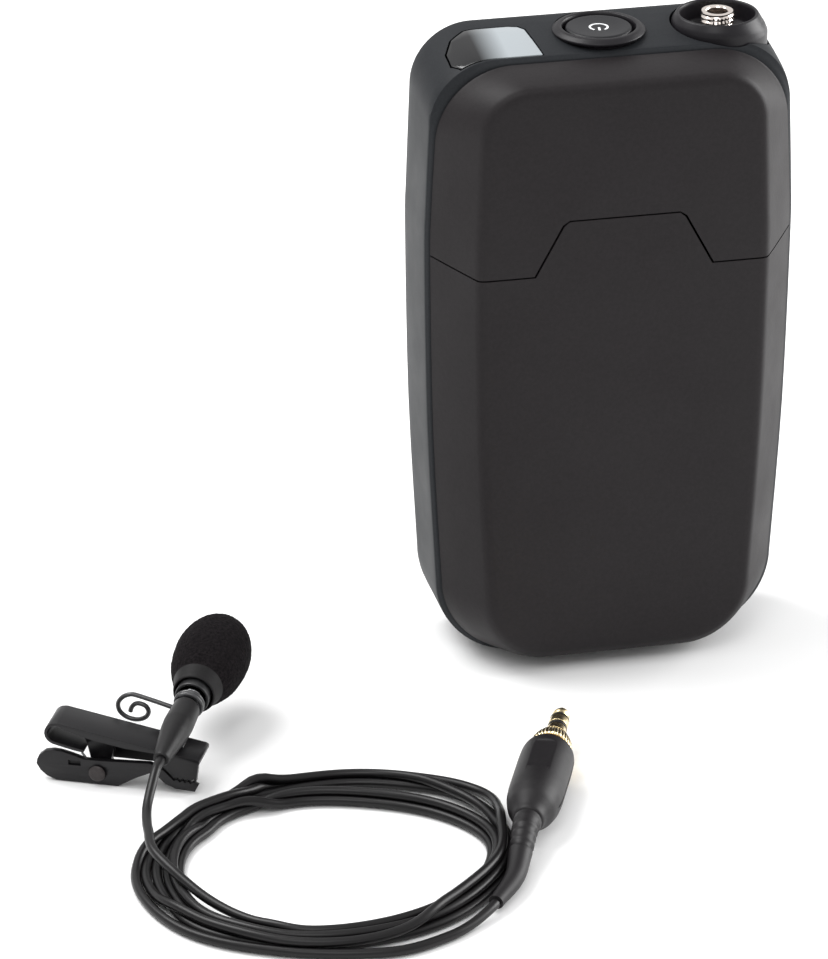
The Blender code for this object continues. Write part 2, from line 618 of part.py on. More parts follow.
def lower_lever():
    """Side plate with the lower handle and arch, and a jaw block that reaches across under the upper jaw."""
    body = [(13.7, 0.4), (14.3, 1.6)] + teeth(0.0)
    body += [(7.2, 4.55), (5.6, 4.95), (-3.0, 4.5), (-6.0, 4.45), (-7.2, 4.85), (-8.4, 5.2), (-10.1, 5.6)]
    body += [(-11.4, 5.7), (-12.9, 5.4), (-14.0, 4.5), (-14.4, 3.6), (-14.5, 2.8), (-13.8, 1.6)]
    body += [(-12.6, 0.6), (-11.0, 0.0), (0.0, 0.0), (3.3, 1.95), (6.3, 3.4), (7.3, 2.5), (8.5, 1.3)]
    body += [(10.4, 0.6)]
    lever = clip_slab(body, 0, PLATE, "lower_lever")
    block = [(12.8, 0.6), (12.8, 2.1), (10.2, 1.95), (8.6, 3.2), (8.6, 1.6), (10.4, 0.75)]
    jaw = as_cutter(clip_slab(block, 0.4 * MM, 5.0 * MM, "lever_jaw"))
    jaw.matrix_world = clip_matrix()
    boolean(lever, jaw, 'UNION')
    slot = as_cutter(box((-8.8 * MM, -1 * MM, 3.15 * MM), (-6.6 * MM, 0.7 * MM, 4.1 * MM), "handle_slot"))
    bore = as_cutter(ring_in_clip(PIN_RADIUS + GAP, "lower_bore", -1 * MM, 9 * MM))
    for tool in (slot, bore):
        tool.matrix_world = clip_matrix()
        boolean(lever, tool)
    lever.matrix_world = clip_matrix()
    finish(lever, "clip_lower_lever", (0.055, 0.055, 0.058), 0.45)


def clip_pin():
    near, far = -0.85 * MM, PIN_FAR
    pin = turned([
        (0, far), (0.9 * MM, far - 0.05 * MM), (PIN_HEAD, far - 0.35 * MM),
        (PIN_HEAD, far - 0.55 * MM), (PIN_RADIUS, far - 0.55 * MM), (PIN_RADIUS, near + 0.55 * MM),
        (PIN_HEAD, near + 0.55 * MM), (PIN_HEAD, near + 0.35 * MM), (0.9 * MM, near + 0.05 * MM),
        (0, near)], 20)
    place = Matrix.Translation((PIVOT[0], 0, PIVOT[1])) @ Matrix.Rotation(math.radians(-90), 4, 'X')
    pin.matrix_world = clip_matrix() @ place
    finish(pin, "clip_pin", (0.12, 0.12, 0.125), 0.35, 0.7)


def clip_spring():
    """Torsion spring on the pin: two turns, one leg under each handle."""
    radius, wire, per_turn = 1.35 * MM, 0.22 * MM, 10
    points = [(-7.2 * MM, 1.75 * MM, 2.2 * MM)]
    start, sweep = math.radians(200), math.radians(-695)
    count = 2 * per_turn
    for i in range(count + 1):
        t = i / count
        angle = start + sweep * t
        y = 1.5 * MM + 0.85 * MM * t
        points.append((PIVOT[0] + radius * math.cos(angle), y, PIVOT[1] + radius * math.sin(angle)))
    points.append((-7.0 * MM, 2.35 * MM, 4.6 * MM))
    spring = curve_object("clip_spring", points, wire, 0)
    spring.matrix_world = clip_matrix()
    finish(spring, "clip_spring", (0.7, 0.7, 0.7), 0.3, 1.0)


# ------------------------------------------------------------------ microphone

def mic_matrix():
    """Local z runs up the microphone's axis, local x is level and points to the right."""
    axis = Vector((math.sin(MIC_AZIMUTH) * math.cos(MIC_RISE),
                   math.cos(MIC_AZIMUTH) * math.cos(MIC_RISE), math.sin(MIC_RISE)))
    right = Vector((math.cos(MIC_AZIMUTH), -math.sin(MIC_AZIMUTH), 0.0))
    up = right.cross(axis)
    turn = Matrix((right, -up, axis)).transposed().to_4x4()
    return Matrix.Translation(BOOT_END) @ turn


HOUSING_OUTER = 3.05 * MM
HOUSING_BORE = 2.5 * MM
HOUSING_TOP = 34.5 * MM
NECK_LOW = 17.6 * MM
FOAM_BORE = HOUSING_OUTER + GAP


def foam_profile():
    """Egg outline down its outer side, a smooth cone to the open end, then back up the blind bore."""
    points = []
    count = 10
    for i in range(count):
        angle = math.radians(90 * i / count)
        points.append((FOAM_RADIUS * math.sin(angle), FOAM_WIDEST_S + FOAM_AHEAD * math.cos(angle)))
    for i in range(7):
        angle = math.radians(90 + 46 * i / 6)
        points.append((FOAM_RADIUS * math.sin(angle), FOAM_WIDEST_S + FOAM_BEHIND * math.cos(angle)))
    points += [(4.45 * MM, 25.0 * MM), (3.8 * MM, 22.4 * MM), (3.6 * MM, 22.0 * MM)]
    points += [(FOAM_BORE + 0.1 * MM, 22.0 * MM), (FOAM_BORE, 22.3 * MM)]
    points += [(FOAM_BORE, HOUSING_TOP + 2 * MM), (0, HOUSING_TOP + 2 * MM)]
    return points


def microphone():
    place = mic_matrix()
    foam = turned(foam_profile(), 28)
    foam.matrix_world = place
    finish(foam, "windshield", (0.02, 0.018, 0.02), 0.95)

    housing = turned([
        (1.6 * MM, HOUSING_TOP), (2.4 * MM, HOUSING_TOP), (HOUSING_OUTER, HOUSING_TOP - 0.5 * MM),
        (HOUSING_OUTER, LIP_S + 0.1 * MM), (HOUSING_OUTER - 0.1 * MM, LIP_S),
        (HOUSING_BORE + 0.1 * MM, LIP_S), (HOUSING_BORE, LIP_S + 0.1 * MM),
        (HOUSING_BORE, HOUSING_TOP - 0.8 * MM), (1.6 * MM, HOUSING_TOP - 0.8 * MM)], 32, True)
    housing.matrix_world = place
    finish(housing, "mic_housing", (0.04, 0.04, 0.042), 0.35)

    capsule = turned([
        (0, 33.2 * MM), (1.9 * MM, 33.2 * MM), (2.05 * MM, 33 * MM), (2.05 * MM, 28 * MM), (0, 28 * MM)], 24)
    capsule.matrix_world = place
    finish(capsule, "mic_capsule", (0.7, 0.68, 0.6), 0.3, 1.0)

    grille = turned([(0, HOUSING_TOP + 0.6 * MM), (2.2 * MM, HOUSING_TOP + 0.55 * MM),
                     (2.2 * MM, HOUSING_TOP + 0.3 * MM), (0, HOUSING_TOP + 0.3 * MM)], 24)
    grille.matrix_world = place
    finish(grille, "mic_grille", (0.15, 0.15, 0.15), 0.4, 0.8)

    neck = turned([
        (0, 26 * MM), (1.95 * MM, 26 * MM), (1.95 * MM, 20.6 * MM), (1.6 * MM, 20.2 * MM),
        (1.6 * MM, NECK_LOW), (0, NECK_LOW)], 24)
    neck.matrix_world = place
    finish(neck, "mic_neck", (0.25, 0.25, 0.26), 0.2, 1.0)

    top = NECK_LOW - GAP
    boot = turned([
        (0, top), (2.2 * MM, top), (2.42 * MM, top - 0.25 * MM), (2.62 * MM, top - 5 * MM),
        (2.64 * MM, 11.5 * MM), (2.5 * MM, 9 * MM), (1.62 * MM, 1.6 * MM), (1.4 * MM, 0.3 * MM),
        (1.2 * MM, 0), (0, 0)], 28)
    boot.matrix_world = place
    finish(boot, "cable_boot", (0.04, 0.04, 0.042), 0.5)


HOLDER_INNER = 2.64 * MM + GAP
HOLDER_OUTER = 3.25 * MM
HOLDER_S = 11.6 * MM
HOLDER_HALF = 2.6 * MM


def mic_holder():
    """Open cradle under the boot, riveted to the upper lever."""
    outline = arc(0, 0, HOLDER_OUTER, 207, 298, 9) + arc(0, 0, HOLDER_INNER, 298, 207, 9)
    cradle = plate(outline, 2 * HOLDER_HALF, "mic_holder")
    cradle.data.transform(Matrix.Scale(-1, 4, (0, 1, 0)))
    cradle.data.flip_normals()
    cradle.data.transform(Matrix.Translation((0, 0, HOLDER_S - HOLDER_HALF)))
    cradle.matrix_world = mic_matrix()
    finish(cradle, "mic_holder", (0.05, 0.05, 0.052), 0.4)


WIRE_RADIUS = 0.42 * MM
HOOK_S = 19.4 * MM
HOOK_CURL = [(-3.2, 1.4), (-6.4, 0.5), (-9.6, -0.3), (-10.8, -0.3), (-12.1, 0.4), (-12.95, 1.7), (-12.8, 3.1),
             (-11.9, 4.1), (-10.6, 4.6), (-9.2, 4.55), (-8.0, 3.9), (-7.5, 2.8), (-7.9, 1.8), (-8.85, 1.35),
             (-9.8, 1.45), (-10.5, 2.2), (-10.8, 3.1)]


def wire_hook():
    """Spring wire wound round the neck, then out to an open curl that holds the lead."""
    ring = 1.6 * MM + GAP + WIRE_RADIUS
    points = []
    turn_steps = 28
    for i in range(turn_steps + 1):
        angle = math.radians(112 - 600 + 600 * i / turn_steps)
        s = HOOK_S - 1.25 * MM + 1.25 * MM * i / turn_steps
        points.append(Vector((ring * math.cos(angle), ring * math.sin(angle), s)))
    curl = [points[-1]] + [Vector((x * MM, y * MM, HOOK_S)) for x, y in HOOK_CURL]
    points += smooth_path(curl, 0.75 * MM)[1:]
    wire = curve_object("clip_wire_hook", points, WIRE_RADIUS, 1)
    wire.matrix_world = mic_matrix()
    finish(wire, "clip_wire_hook", (0.05, 0.05, 0.052), 0.3, 0.8)


# ------------------------------------------------------------------ lead

def mic_axis():
    return mic_matrix().to_3x3() @ Vector((0, 0, 1))


def lead_drop():
    """From the boot down on to the top of the coil."""
    axis = mic_axis()
    anchors = [BOOT_END - axis * GAP, BOOT_END - axis * 2.5 * MM]
    anchors += [Vector(p) * MM for p in ((-92.4, -53.6, 8.3), (-94.0, -57.6, 6.5), (-94.8, -61.4, 5.9),
                                         (-95.2, -65.4, 5.8))]
    tube = curve_object("lead_drop", smooth_path(anchors, 2 * MM), LEAD_RADIUS, 2)
    finish(tube, "lead_drop", (0.035, 0.035, 0.037), 0.45)


def coil_matrix():
    return (Matrix.Translation(COIL_CENTRE) @ Matrix.Rotation(COIL_TURN, 4, 'Z')
            @ Matrix.Diagonal((1, COIL_SQUASH, 1, 1)))


def lead_coil():
    """Outer shape of the coiled lead: an oval ring lying flat."""
    edge, high = 0.9 * MM, COIL_HEIGHT
    ring = turned([
        (COIL_INNER + edge, high), (COIL_OUTER - edge, high), (COIL_OUTER, high - edge),
        (COIL_OUTER, edge), (COIL_OUTER - edge, 0), (COIL_INNER + edge, 0), (COIL_INNER, edge),
        (COIL_INNER, high - edge)], 56, True)
    ring.data.transform(Matrix.Identity(4))
    ring.matrix_world = coil_matrix()
    finish(ring, "lead_coil", (0.035, 0.035, 0.037), 0.45)


def relief_path():
    """Centre line of the plug's strain relief, from its body to the lead."""
    axis = plug_axis()
    start = PLUG_TIP - axis * 41.4 * MM
    anchors = [start, start - axis * 3 * MM]
    anchors += [Vector(p) * MM for p in ((-35.1, -82.6, 3.3), (-37.7, -88.9, 2.4), (-42.2, -95.0, 1.8))]
    return smooth_path(anchors, 2 * MM)


def lead_tail():
    """From the strain relief to the coil's outer edge."""
    relief = relief_path()
    heading = (relief[-1] - relief[-2]).normalized()
    anchors = [relief[-1] + heading * GAP, relief[-1] + heading * 2 * MM]
    anchors += [Vector(p) * MM for p in ((-48.2, -100.5, 0.95), (-54.4, -104.0, 0.9), (-62.0, -106.0, 0.9))]
    tube = curve_object("lead_tail", smooth_path(anchors, 2.5 * MM), LEAD_RADIUS, 2)
    finish(tube, "lead_tail", (0.035, 0.035, 0.037), 0.45)


# ------------------------------------------------------------------ plug

def plug_axis():
    return Vector((math.sin(PLUG_AZIMUTH), math.cos(PLUG_AZIMUTH), 0.0))


def plug_matrix():
    """Local z runs towards the tip, which is at z = 0."""
    axis = plug_axis()
    right = Vector((axis.y, -axis.x, 0.0))
    up = Vector((0, 0, 1))
    turn = Matrix((right, -up, axis)).transposed().to_4x4()
    return Matrix.Translation(PLUG_TIP) @ turn


def plug_part(profile, steps, name, colour, roughness, metallic, closed=False):
    piece = turned([(r * MM, z * MM) for r, z in profile], steps, closed)
    piece.matrix_world = plug_matrix()
    return finish(piece, name, colour, roughness, metallic)


def knurl_profile():
    return [(2.4, -10.9), (2.7, -11.0), (3.2, -12.3), (3.6, -13.5), (3.75, -14.2), (3.75, -15.0),
            (3.5, -15.35), (2.1, -15.35), (2.1, -14.4), (2.2, -14.0), (2.2, -11.1)]


def plug():
    gold = (0.83, 0.62, 0.25)
    gap = GAP / MM
    plug_part([(0, 0), (0.5, -0.05), (1.05, -0.7), (1.45, -1.7), (1.62, -2.3), (1.35, -3.0), (1.35, -3.4),
               (0, -3.4)], 24, "plug_tip", gold, 0.2, 1.0)
    plug_part([(0, -3.4 - gap), (1.62, -3.4 - gap), (1.75, -3.85), (1.75, -4.1), (0, -4.1)], 24,
              "plug_insulator_front", (0.02, 0.02, 0.02), 0.4, 0.0)
    plug_part([(0, -4.1 - gap), (1.75, -4.1 - gap), (1.75, -6.5), (0, -6.5)], 24, "plug_ring", gold, 0.2, 1.0)
    plug_part([(0, -6.5 - gap), (1.75, -6.5 - gap), (1.75, -7.3), (0, -7.3)], 24,
              "plug_insulator_rear", (0.02, 0.02, 0.02), 0.4, 0.0)
    plug_part([(0, -7.3 - gap), (1.75, -7.3 - gap), (1.75, -15.8), (3.6, -15.8), (3.6, -16.6), (0, -16.6)], 24,
              "plug_sleeve", gold, 0.2, 1.0)
    plug_part(knurl_profile(), 40, "plug_collar", gold, 0.25, 1.0, True)
    body = plug_part([(0, -17.0), (4.0, -17.0), (4.5, -17.4), (4.7, -18.4), (4.8, -22.0), (4.8, -32.0),
                      (4.65, -34.6), (4.1, -37.2), (3.0, -39.4), (2.55, -41.1), (0, -41.1)], 32,
                     "plug_body", (0.03, 0.03, 0.032), 0.5, 0.0)
    panel = box((-2.6 * MM, -6 * MM, -30.0 * MM), (2.6 * MM, -4.35 * MM, -19.5 * MM), "panel_recess")
    panel.matrix_world = plug_matrix()
    bevel(panel, 1.2 * MM, 3)
    boolean(body, as_cutter(panel))
    relief = loft(relief_rings(), "relief", cap_first=True)
    finish(relief, "plug_relief", (0.03, 0.03, 0.032), 0.55)


def relief_rings():
    """Round sections along the relief's path, tapering, with four moulded grooves near the body."""
    path = relief_path()
    count = len(path)
    rings = []
    sides = 14
    for i, centre in enumerate(path):
        ahead = (path[min(i + 1, count - 1)] - path[max(i - 1, 0)]).normalized()
        across = ahead.cross(Vector((0, 0, 1))).normalized()
        above = across.cross(ahead)
        radius = 2.45 * MM - 1.15 * MM * i / (count - 1)
        ring = []
        for k in range(sides):
            angle = -2 * math.pi * k / sides
            ring.append(centre + across * radius * math.cos(angle) + above * radius * math.sin(angle))
        rings.append(ring)
    return rings


# ------------------------------------------------------------------ assembly

def main():
    for obj in list(bpy.data.objects):
        bpy.data.objects.remove(obj)
    bpy.context.scene.collection.children.link(parts)
    bpy.context.scene.collection.children.link(cutters)
    rear_moulding()
    front_mouldings()
    top_fittings()
    battery_bay()
    electronics()
    belt_clip()
    case_screws()
    upper_lever()
    lower_lever()
    clip_pin()
    clip_spring()
    microphone()
    mic_holder()
    wire_hook()
    lead_drop()
    lead_coil()
    lead_tail()
    plug()


main()
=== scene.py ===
"""Wireless lavalier microphone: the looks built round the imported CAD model."""

import math

import bpy
import bmesh
import numpy as np
from mathutils import Matrix, Vector
from mathutils import noise as mnoise


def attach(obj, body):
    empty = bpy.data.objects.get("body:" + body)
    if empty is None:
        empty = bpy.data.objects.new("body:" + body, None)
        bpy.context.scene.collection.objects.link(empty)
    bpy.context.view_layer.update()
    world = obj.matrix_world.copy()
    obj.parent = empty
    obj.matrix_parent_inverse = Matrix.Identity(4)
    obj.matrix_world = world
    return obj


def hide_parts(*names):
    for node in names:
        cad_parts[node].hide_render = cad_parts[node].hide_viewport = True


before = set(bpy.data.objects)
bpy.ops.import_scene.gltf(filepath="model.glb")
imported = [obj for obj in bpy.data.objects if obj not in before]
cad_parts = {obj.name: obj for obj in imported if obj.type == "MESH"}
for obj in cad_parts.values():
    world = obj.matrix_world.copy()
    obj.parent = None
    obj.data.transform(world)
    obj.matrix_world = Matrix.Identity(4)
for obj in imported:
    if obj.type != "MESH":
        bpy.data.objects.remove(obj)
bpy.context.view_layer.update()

MM = 0.001

# ---- places shared with the CAD model, in metres
CLIP_PLACE = Matrix.Translation((-0.0957, -0.0377, 0)) @ Matrix.Rotation(math.radians(-25.0), 4, 'Z')
BOOT_END = Vector((-0.08995, -0.04835, 0.0099))
MIC_AZIMUTH = math.radians(25.5)
MIC_RISE = math.radians(4.0)
PLUG_TIP = Vector((-0.0162, -0.0363, 0.0049))
PLUG_AZIMUTH = math.radians(22.3)
COIL_CENTRE = Vector((-0.0675, -0.0735, 0.0))
LEAD_RADIUS = 0.85 * MM
TOP_CENTRE_Y = 6.2 * MM
BUTTON_X = -0.4 * MM
SOCKET_X = 21.0 * MM

# ---- sizes used in more than one place, in millimetres
BELT_PIN_Y, BELT_PIN_Z = 17.6, 109.3
LUG_INNER, LUG_OUTER = 22.9, 25.3
RIVET_X, RIVET_Z = -3.6, 2.2
FOAM_RADIUS, FOAM_WIDEST = 6.65, 34.8
FOAM_AHEAD, FOAM_BEHIND = 10.6, 12.9
FOAM_SKIN_END = 25.05
PLUG_BODY_LENGTH = 41.1

# ---- lens of the camera, millimetres on a film 36 mm high
LENS = 212.096


# ------------------------------------------------------------------ helpers

def axis_frame(origin, axis):
    """Local z along the axis, local x level and to the right, local y downwards."""
    right = Vector((axis.y, -axis.x, 0.0)).normalized()
    up = right.cross(axis)
    turn = Matrix((right, -up, axis)).transposed().to_4x4()
    return Matrix.Translation(origin) @ turn


MIC_AXIS = Vector((math.sin(MIC_AZIMUTH) * math.cos(MIC_RISE),
                   math.cos(MIC_AZIMUTH) * math.cos(MIC_RISE), math.sin(MIC_RISE)))
PLUG_AXIS = Vector((math.sin(PLUG_AZIMUTH), math.cos(PLUG_AZIMUTH), 0.0))
MIC_PLACE = axis_frame(BOOT_END, MIC_AXIS)
PLUG_PLACE = axis_frame(PLUG_TIP, PLUG_AXIS)


def add(obj, name, body, material, nodes=(), smooth=35):
    """Files a piece: name, material, the body it moves with and the CAD nodes it stands for."""
    obj.name = name
    if not obj.users_collection:
        bpy.context.scene.collection.objects.link(obj)
    obj.data.materials.clear()
    obj.data.materials.append(material)
    if obj.type == 'MESH' and smooth:
        obj.data.shade_smooth()
        obj.data.set_sharp_from_angle(angle=math.radians(smooth))
    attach(obj, body)
    if nodes:
        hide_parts(*nodes)


def mesh_object(bm, name, place=None):
    mesh = bpy.data.meshes.new(name)
    bmesh.ops.recalc_face_normals(bm, faces=bm.faces)
    bm.to_mesh(mesh)
    bm.free()
    obj = bpy.data.objects.new(name, mesh)
    if place is not None:
        mesh.transform(place)
    bpy.context.scene.collection.objects.link(obj)
    return obj


def lathe(name, profile, steps=64, place=None, closed=False, shape=None):
    """Turns (radius, height) pairs in millimetres about z.  shape may change a point's radius by angle."""
    bm = bmesh.new()
    rings = []
    for k, (radius, height) in enumerate(profile):
        if radius < 0.0001:
            rings.append([bm.verts.new((0, 0, height * MM))])
            continue
        ring = []
        for i in range(steps):
            angle = 2 * math.pi * i / steps
            r = radius if shape is None else shape(radius, height, angle)
            ring.append(bm.verts.new((r * math.cos(angle) * MM, r * math.sin(angle) * MM, height * MM)))
        rings.append(ring)
    pairs = list(zip(rings, rings[1:]))
    if closed:
        pairs.append((rings[-1], rings[0]))
    for a, b in pairs:
        for i in range(steps):
            j = (i + 1) % steps
            corners = [a[i % len(a)], a[j % len(a)], b[j % len(b)], b[i % len(b)]]
            face = list(dict.fromkeys(corners))
            if len(face) > 2:
                bm.faces.new(face)
    return mesh_object(bm, name, place)


def rounded(profile, radius, steps=4, closed=False):
    """The same outline with its corners rounded off, radius in millimetres."""
    points = []
    count = len(profile)
    for i, here in enumerate(profile):
        if not closed and i in (0, count - 1):
            points.append(here)
            continue
        here = Vector(here)
        before, after = Vector(profile[i - 1]), Vector(profile[(i + 1) % count])
        a, b = before - here, after - here
        cut = min(radius, a.length * 0.45, b.length * 0.45)
        start, end = here + a.normalized() * cut, here + b.normalized() * cut
        for k in range(steps + 1):
            t = k / steps
            points.append(tuple(start * (1 - t) ** 2 + here * 2 * t * (1 - t) + end * t * t))
    return points


def tube(name, points, radius, resolution=5):
    """A round wire through points given in metres; radius may be a list."""
    curve = bpy.data.curves.new(name, 'CURVE')
    curve.dimensions = '3D'
    single = not isinstance(radius, (list, tuple))
    curve.bevel_depth = radius if single else 1.0
    curve.bevel_resolution = resolution
    curve.use_fill_caps = True
    spline = curve.splines.new('POLY')
    spline.points.add(len(points) - 1)
    for i, (spot, place) in enumerate(zip(spline.points, points)):
        spot.co = (*place, 1.0)
        if not single:
            spot.radius = radius[i]
    spline.use_smooth = True
    obj = bpy.data.objects.new(name, curve)
    bpy.context.scene.collection.objects.link(obj)
    return obj


def smooth_path(anchors, spacing):
    """Catmull-Rom points through the anchors, about one every spacing."""
    points = []
    padded = [anchors[0] * 2 - anchors[1], *anchors, anchors[-1] * 2 - anchors[-2]]
    for a, b, c, d in zip(padded, padded[1:], padded[2:], padded[3:]):
        count = max(2, round((c - b).length / spacing))
        for i in range(count):
            t = i / count
            spot = b * 2 + (c - a) * t
            spot += (a * 2 - b * 5 + c * 4 - d) * t * t
            spot += (b * 3 - a - c * 3 + d) * t ** 3
            points.append(spot / 2)
    points.append(anchors[-1])
    return points


def apply_modifiers(obj):
    """Gives the object the mesh that its modifiers make of it."""
    graph = bpy.context.evaluated_depsgraph_get()
    mesh = bpy.data.meshes.new_from_object(obj.evaluated_get(graph))
    obj.modifiers.clear()
    obj.data = mesh
    return obj


def cut(obj, *tools, operation='DIFFERENCE'):
    """Exact Boolean with each tool in turn; the tools are removed afterwards."""
    for tool in tools:
        modifier = obj.modifiers.new("cut", 'BOOLEAN')
        modifier.operation = operation
        modifier.object = tool
        modifier.solver = 'EXACT'
        apply_modifiers(obj)
        bpy.data.objects.remove(tool)
    return obj


def bevel(obj, width, segments=3, angle=30):
    """Rounds the edges sharper than the angle, width in millimetres."""
    modifier = obj.modifiers.new("edges", 'BEVEL')
    modifier.width = width * MM
    modifier.segments = segments
    modifier.limit_method = 'ANGLE'
    modifier.angle_limit = math.radians(angle)
    modifier.harden_normals = False
    return apply_modifiers(obj)


def prism(name, outline, low, high, place=None):
    """A closed outline in millimetres as a slab between two depths along local z."""
    bm = bmesh.new()
    base = [bm.verts.new((x * MM, y * MM, low * MM)) for x, y in outline]
    top = [bm.verts.new((x * MM, y * MM, high * MM)) for x, y in outline]
    bm.faces.new(base)
    bm.faces.new(top)
    for i in range(len(base)):
        j = (i + 1) % len(base)
        bm.faces.new((base[i], base[j], top[j], top[i]))
    return mesh_object(bm, name, place)


def block(name, low, high, place=None):
    """A box between two corners in millimetres."""
    bm = bmesh.new()
    bmesh.ops.create_cube(bm, size=1.0)
    low, high = Vector(low) * MM, Vector(high) * MM
    bmesh.ops.scale(bm, vec=high - low, verts=bm.verts)
    bmesh.ops.translate(bm, vec=(low + high) / 2, verts=bm.verts)
    return mesh_object(bm, name, place)


def arc(cx, cz, radius, start, end, count):
    """Points of an arc, its angles in degrees."""
    step = (end - start) / count
    angles = [math.radians(start + step * i) for i in range(count + 1)]
    return [(cx + radius * math.cos(a), cz + radius * math.sin(a)) for a in angles]


# ------------------------------------------------------------------ materials

def surface(name, colour, roughness, metallic=0.0, specular=0.5):
    material = bpy.data.materials.new(name)
    material.use_nodes = True
    shader = material.node_tree.nodes["Principled BSDF"]
    shader.inputs["Base Color"].default_value = (*colour, 1.0)
    shader.inputs["Roughness"].default_value = roughness
    shader.inputs["Metallic"].default_value = metallic
    shader.inputs["Specular IOR Level"].default_value = specular
    return material


def nodes_of(material):
    tree = material.node_tree
    return tree, tree.nodes["Principled BSDF"]


def noise(tree, scale, detail=3.0, rough=0.55):
    """Noise over the object's own metres; scale is features per metre."""
    place = tree.nodes.new('ShaderNodeTexCoord')
    texture = tree.nodes.new('ShaderNodeTexNoise')
    texture.inputs["Scale"].default_value = scale
    texture.inputs["Detail"].default_value = detail
    texture.inputs["Roughness"].default_value = rough
    tree.links.new(place.outputs["Object"], texture.inputs["Vector"])
    return texture.outputs["Fac"]


def spread(tree, value, low, high):
    """Maps 0.3..0.7 of a noise on to low..high."""
    node = tree.nodes.new('ShaderNodeMapRange')
    node.inputs["From Min"].default_value = 0.3
    node.inputs["From Max"].default_value = 0.7
    node.inputs["To Min"].default_value = low
    node.inputs["To Max"].default_value = high
    tree.links.new(value, node.inputs["Value"])
    return node.outputs["Result"]


def bump(material, height, distance, strength):
    """Relief on the surface from a 0..1 height, distance in metres."""
    tree, shader = nodes_of(material)
    node = tree.nodes.new('ShaderNodeBump')
    node.inputs["Distance"].default_value = distance
    node.inputs["Strength"].default_value = strength
    tree.links.new(height, node.inputs["Height"])
    tree.links.new(node.outputs["Normal"], shader.inputs["Normal"])


def tint(material, value, dark, light):
    """Base colour between two shades, driven by a 0..1 value."""
    tree, shader = nodes_of(material)
    ramp = tree.nodes.new('ShaderNodeValToRGB')
    ramp.color_ramp.elements[0].color = (*dark, 1.0)
    ramp.color_ramp.elements[1].color = (*light, 1.0)
    ramp.color_ramp.elements[0].position = 0.3
    ramp.color_ramp.elements[1].position = 0.7
    tree.links.new(value, ramp.inputs["Fac"])
    tree.links.new(ramp.outputs["Color"], shader.inputs["Base Color"])


def moulded(name, colour, roughness, grain=2600, depth=0.00002, specular=0.4, wander=0.06):
    """Moulded plastic or rubber: fine spark-eroded grain, slightly uneven gloss and tone."""
    material = surface(name, colour, roughness, specular=specular)
    tree, shader = nodes_of(material)
    fine = noise(tree, grain, 2.0, 0.6)
    bump(material, fine, depth, 0.6)
    broad = noise(tree, 60, 4.0)
    rough = spread(tree, broad, roughness - wander, roughness + wander)
    tree.links.new(rough, shader.inputs["Roughness"])
    tint(material, fine, tuple(c * 0.88 for c in colour), tuple(c * 1.14 for c in colour))
    return material


def plated(name, colour, roughness, grain=900):
    """Plated metal: fine turning marks and a little unevenness in the gloss."""
    material = surface(name, colour, roughness, metallic=1.0)
    tree, shader = nodes_of(material)
    fine = noise(tree, grain, 4.0, 0.6)
    bump(material, fine, 0.000012, 0.35)
    rough = spread(tree, noise(tree, 250, 3.0), roughness * 0.75, roughness * 1.35)
    tree.links.new(rough, shader.inputs["Roughness"])
    tint(material, noise(tree, 160, 3.0), tuple(c * 0.9 for c in colour), colour)
    return material


# ------------------------------------------------------------------ camera, light and floor

def camera():
    data = bpy.data.cameras.new("camera")
    data.sensor_fit = 'VERTICAL'
    data.sensor_height = 36.0
    data.lens = LENS
    data.clip_start = 0.02
    data.clip_end = 20.0
    obj = bpy.data.objects.new("camera", data)
    obj.location = (-0.23467, -0.89050, 0.46064)
    obj.rotation_euler = (math.radians(65.0), 0.0, math.radians(-12.65))
    bpy.context.scene.collection.objects.link(obj)
    bpy.context.scene.camera = obj


def area_light(name, place, target, size, power):
    data = bpy.data.lights.new(name, 'AREA')
    data.energy = power
    data.size = size
    obj = bpy.data.objects.new(name, data)
    obj.location = place
    direction = Vector(target) - Vector(place)
    obj.rotation_euler = direction.to_track_quat('-Z', 'Y').to_euler()
    bpy.context.scene.collection.objects.link(obj)


def studio():
    bm = bmesh.new()
    bmesh.ops.create_grid(bm, x_segments=1, y_segments=1, size=6.0)
    floor = mesh_object(bm, "floor")
    floor.location = (0, 0, -0.0002)
    white = surface("floor_white", (0.9, 0.9, 0.9), 0.7, specular=0.2)
    tree, shader = nodes_of(white)
    tint(white, noise(tree, 3.0), (0.89, 0.89, 0.89), (0.91, 0.91, 0.91))
    floor.data.materials.append(white)
    world = bpy.data.worlds.new("studio")
    world.use_nodes = True
    world.node_tree.nodes["Background"].inputs[0].default_value = (1, 1, 1, 1)
    world.node_tree.nodes["Background"].inputs[1].default_value = 0.75
    bpy.context.scene.world = world
    area_light("key", (-0.5, 0.3, 0.9), (-0.03, -0.03, 0.03), 0.6, 9.0)
    area_light("right", (0.85, 0.1, 0.3), (0.0, 0.0, 0.06), 0.6, 9.0)
    area_light("front", (-0.3, -0.7, 0.95), (-0.04, -0.05, 0.03), 0.5, 3.0)
    bpy.context.scene.view_settings.view_transform = 'Standard'


# ------------------------------------------------------------------ the lead

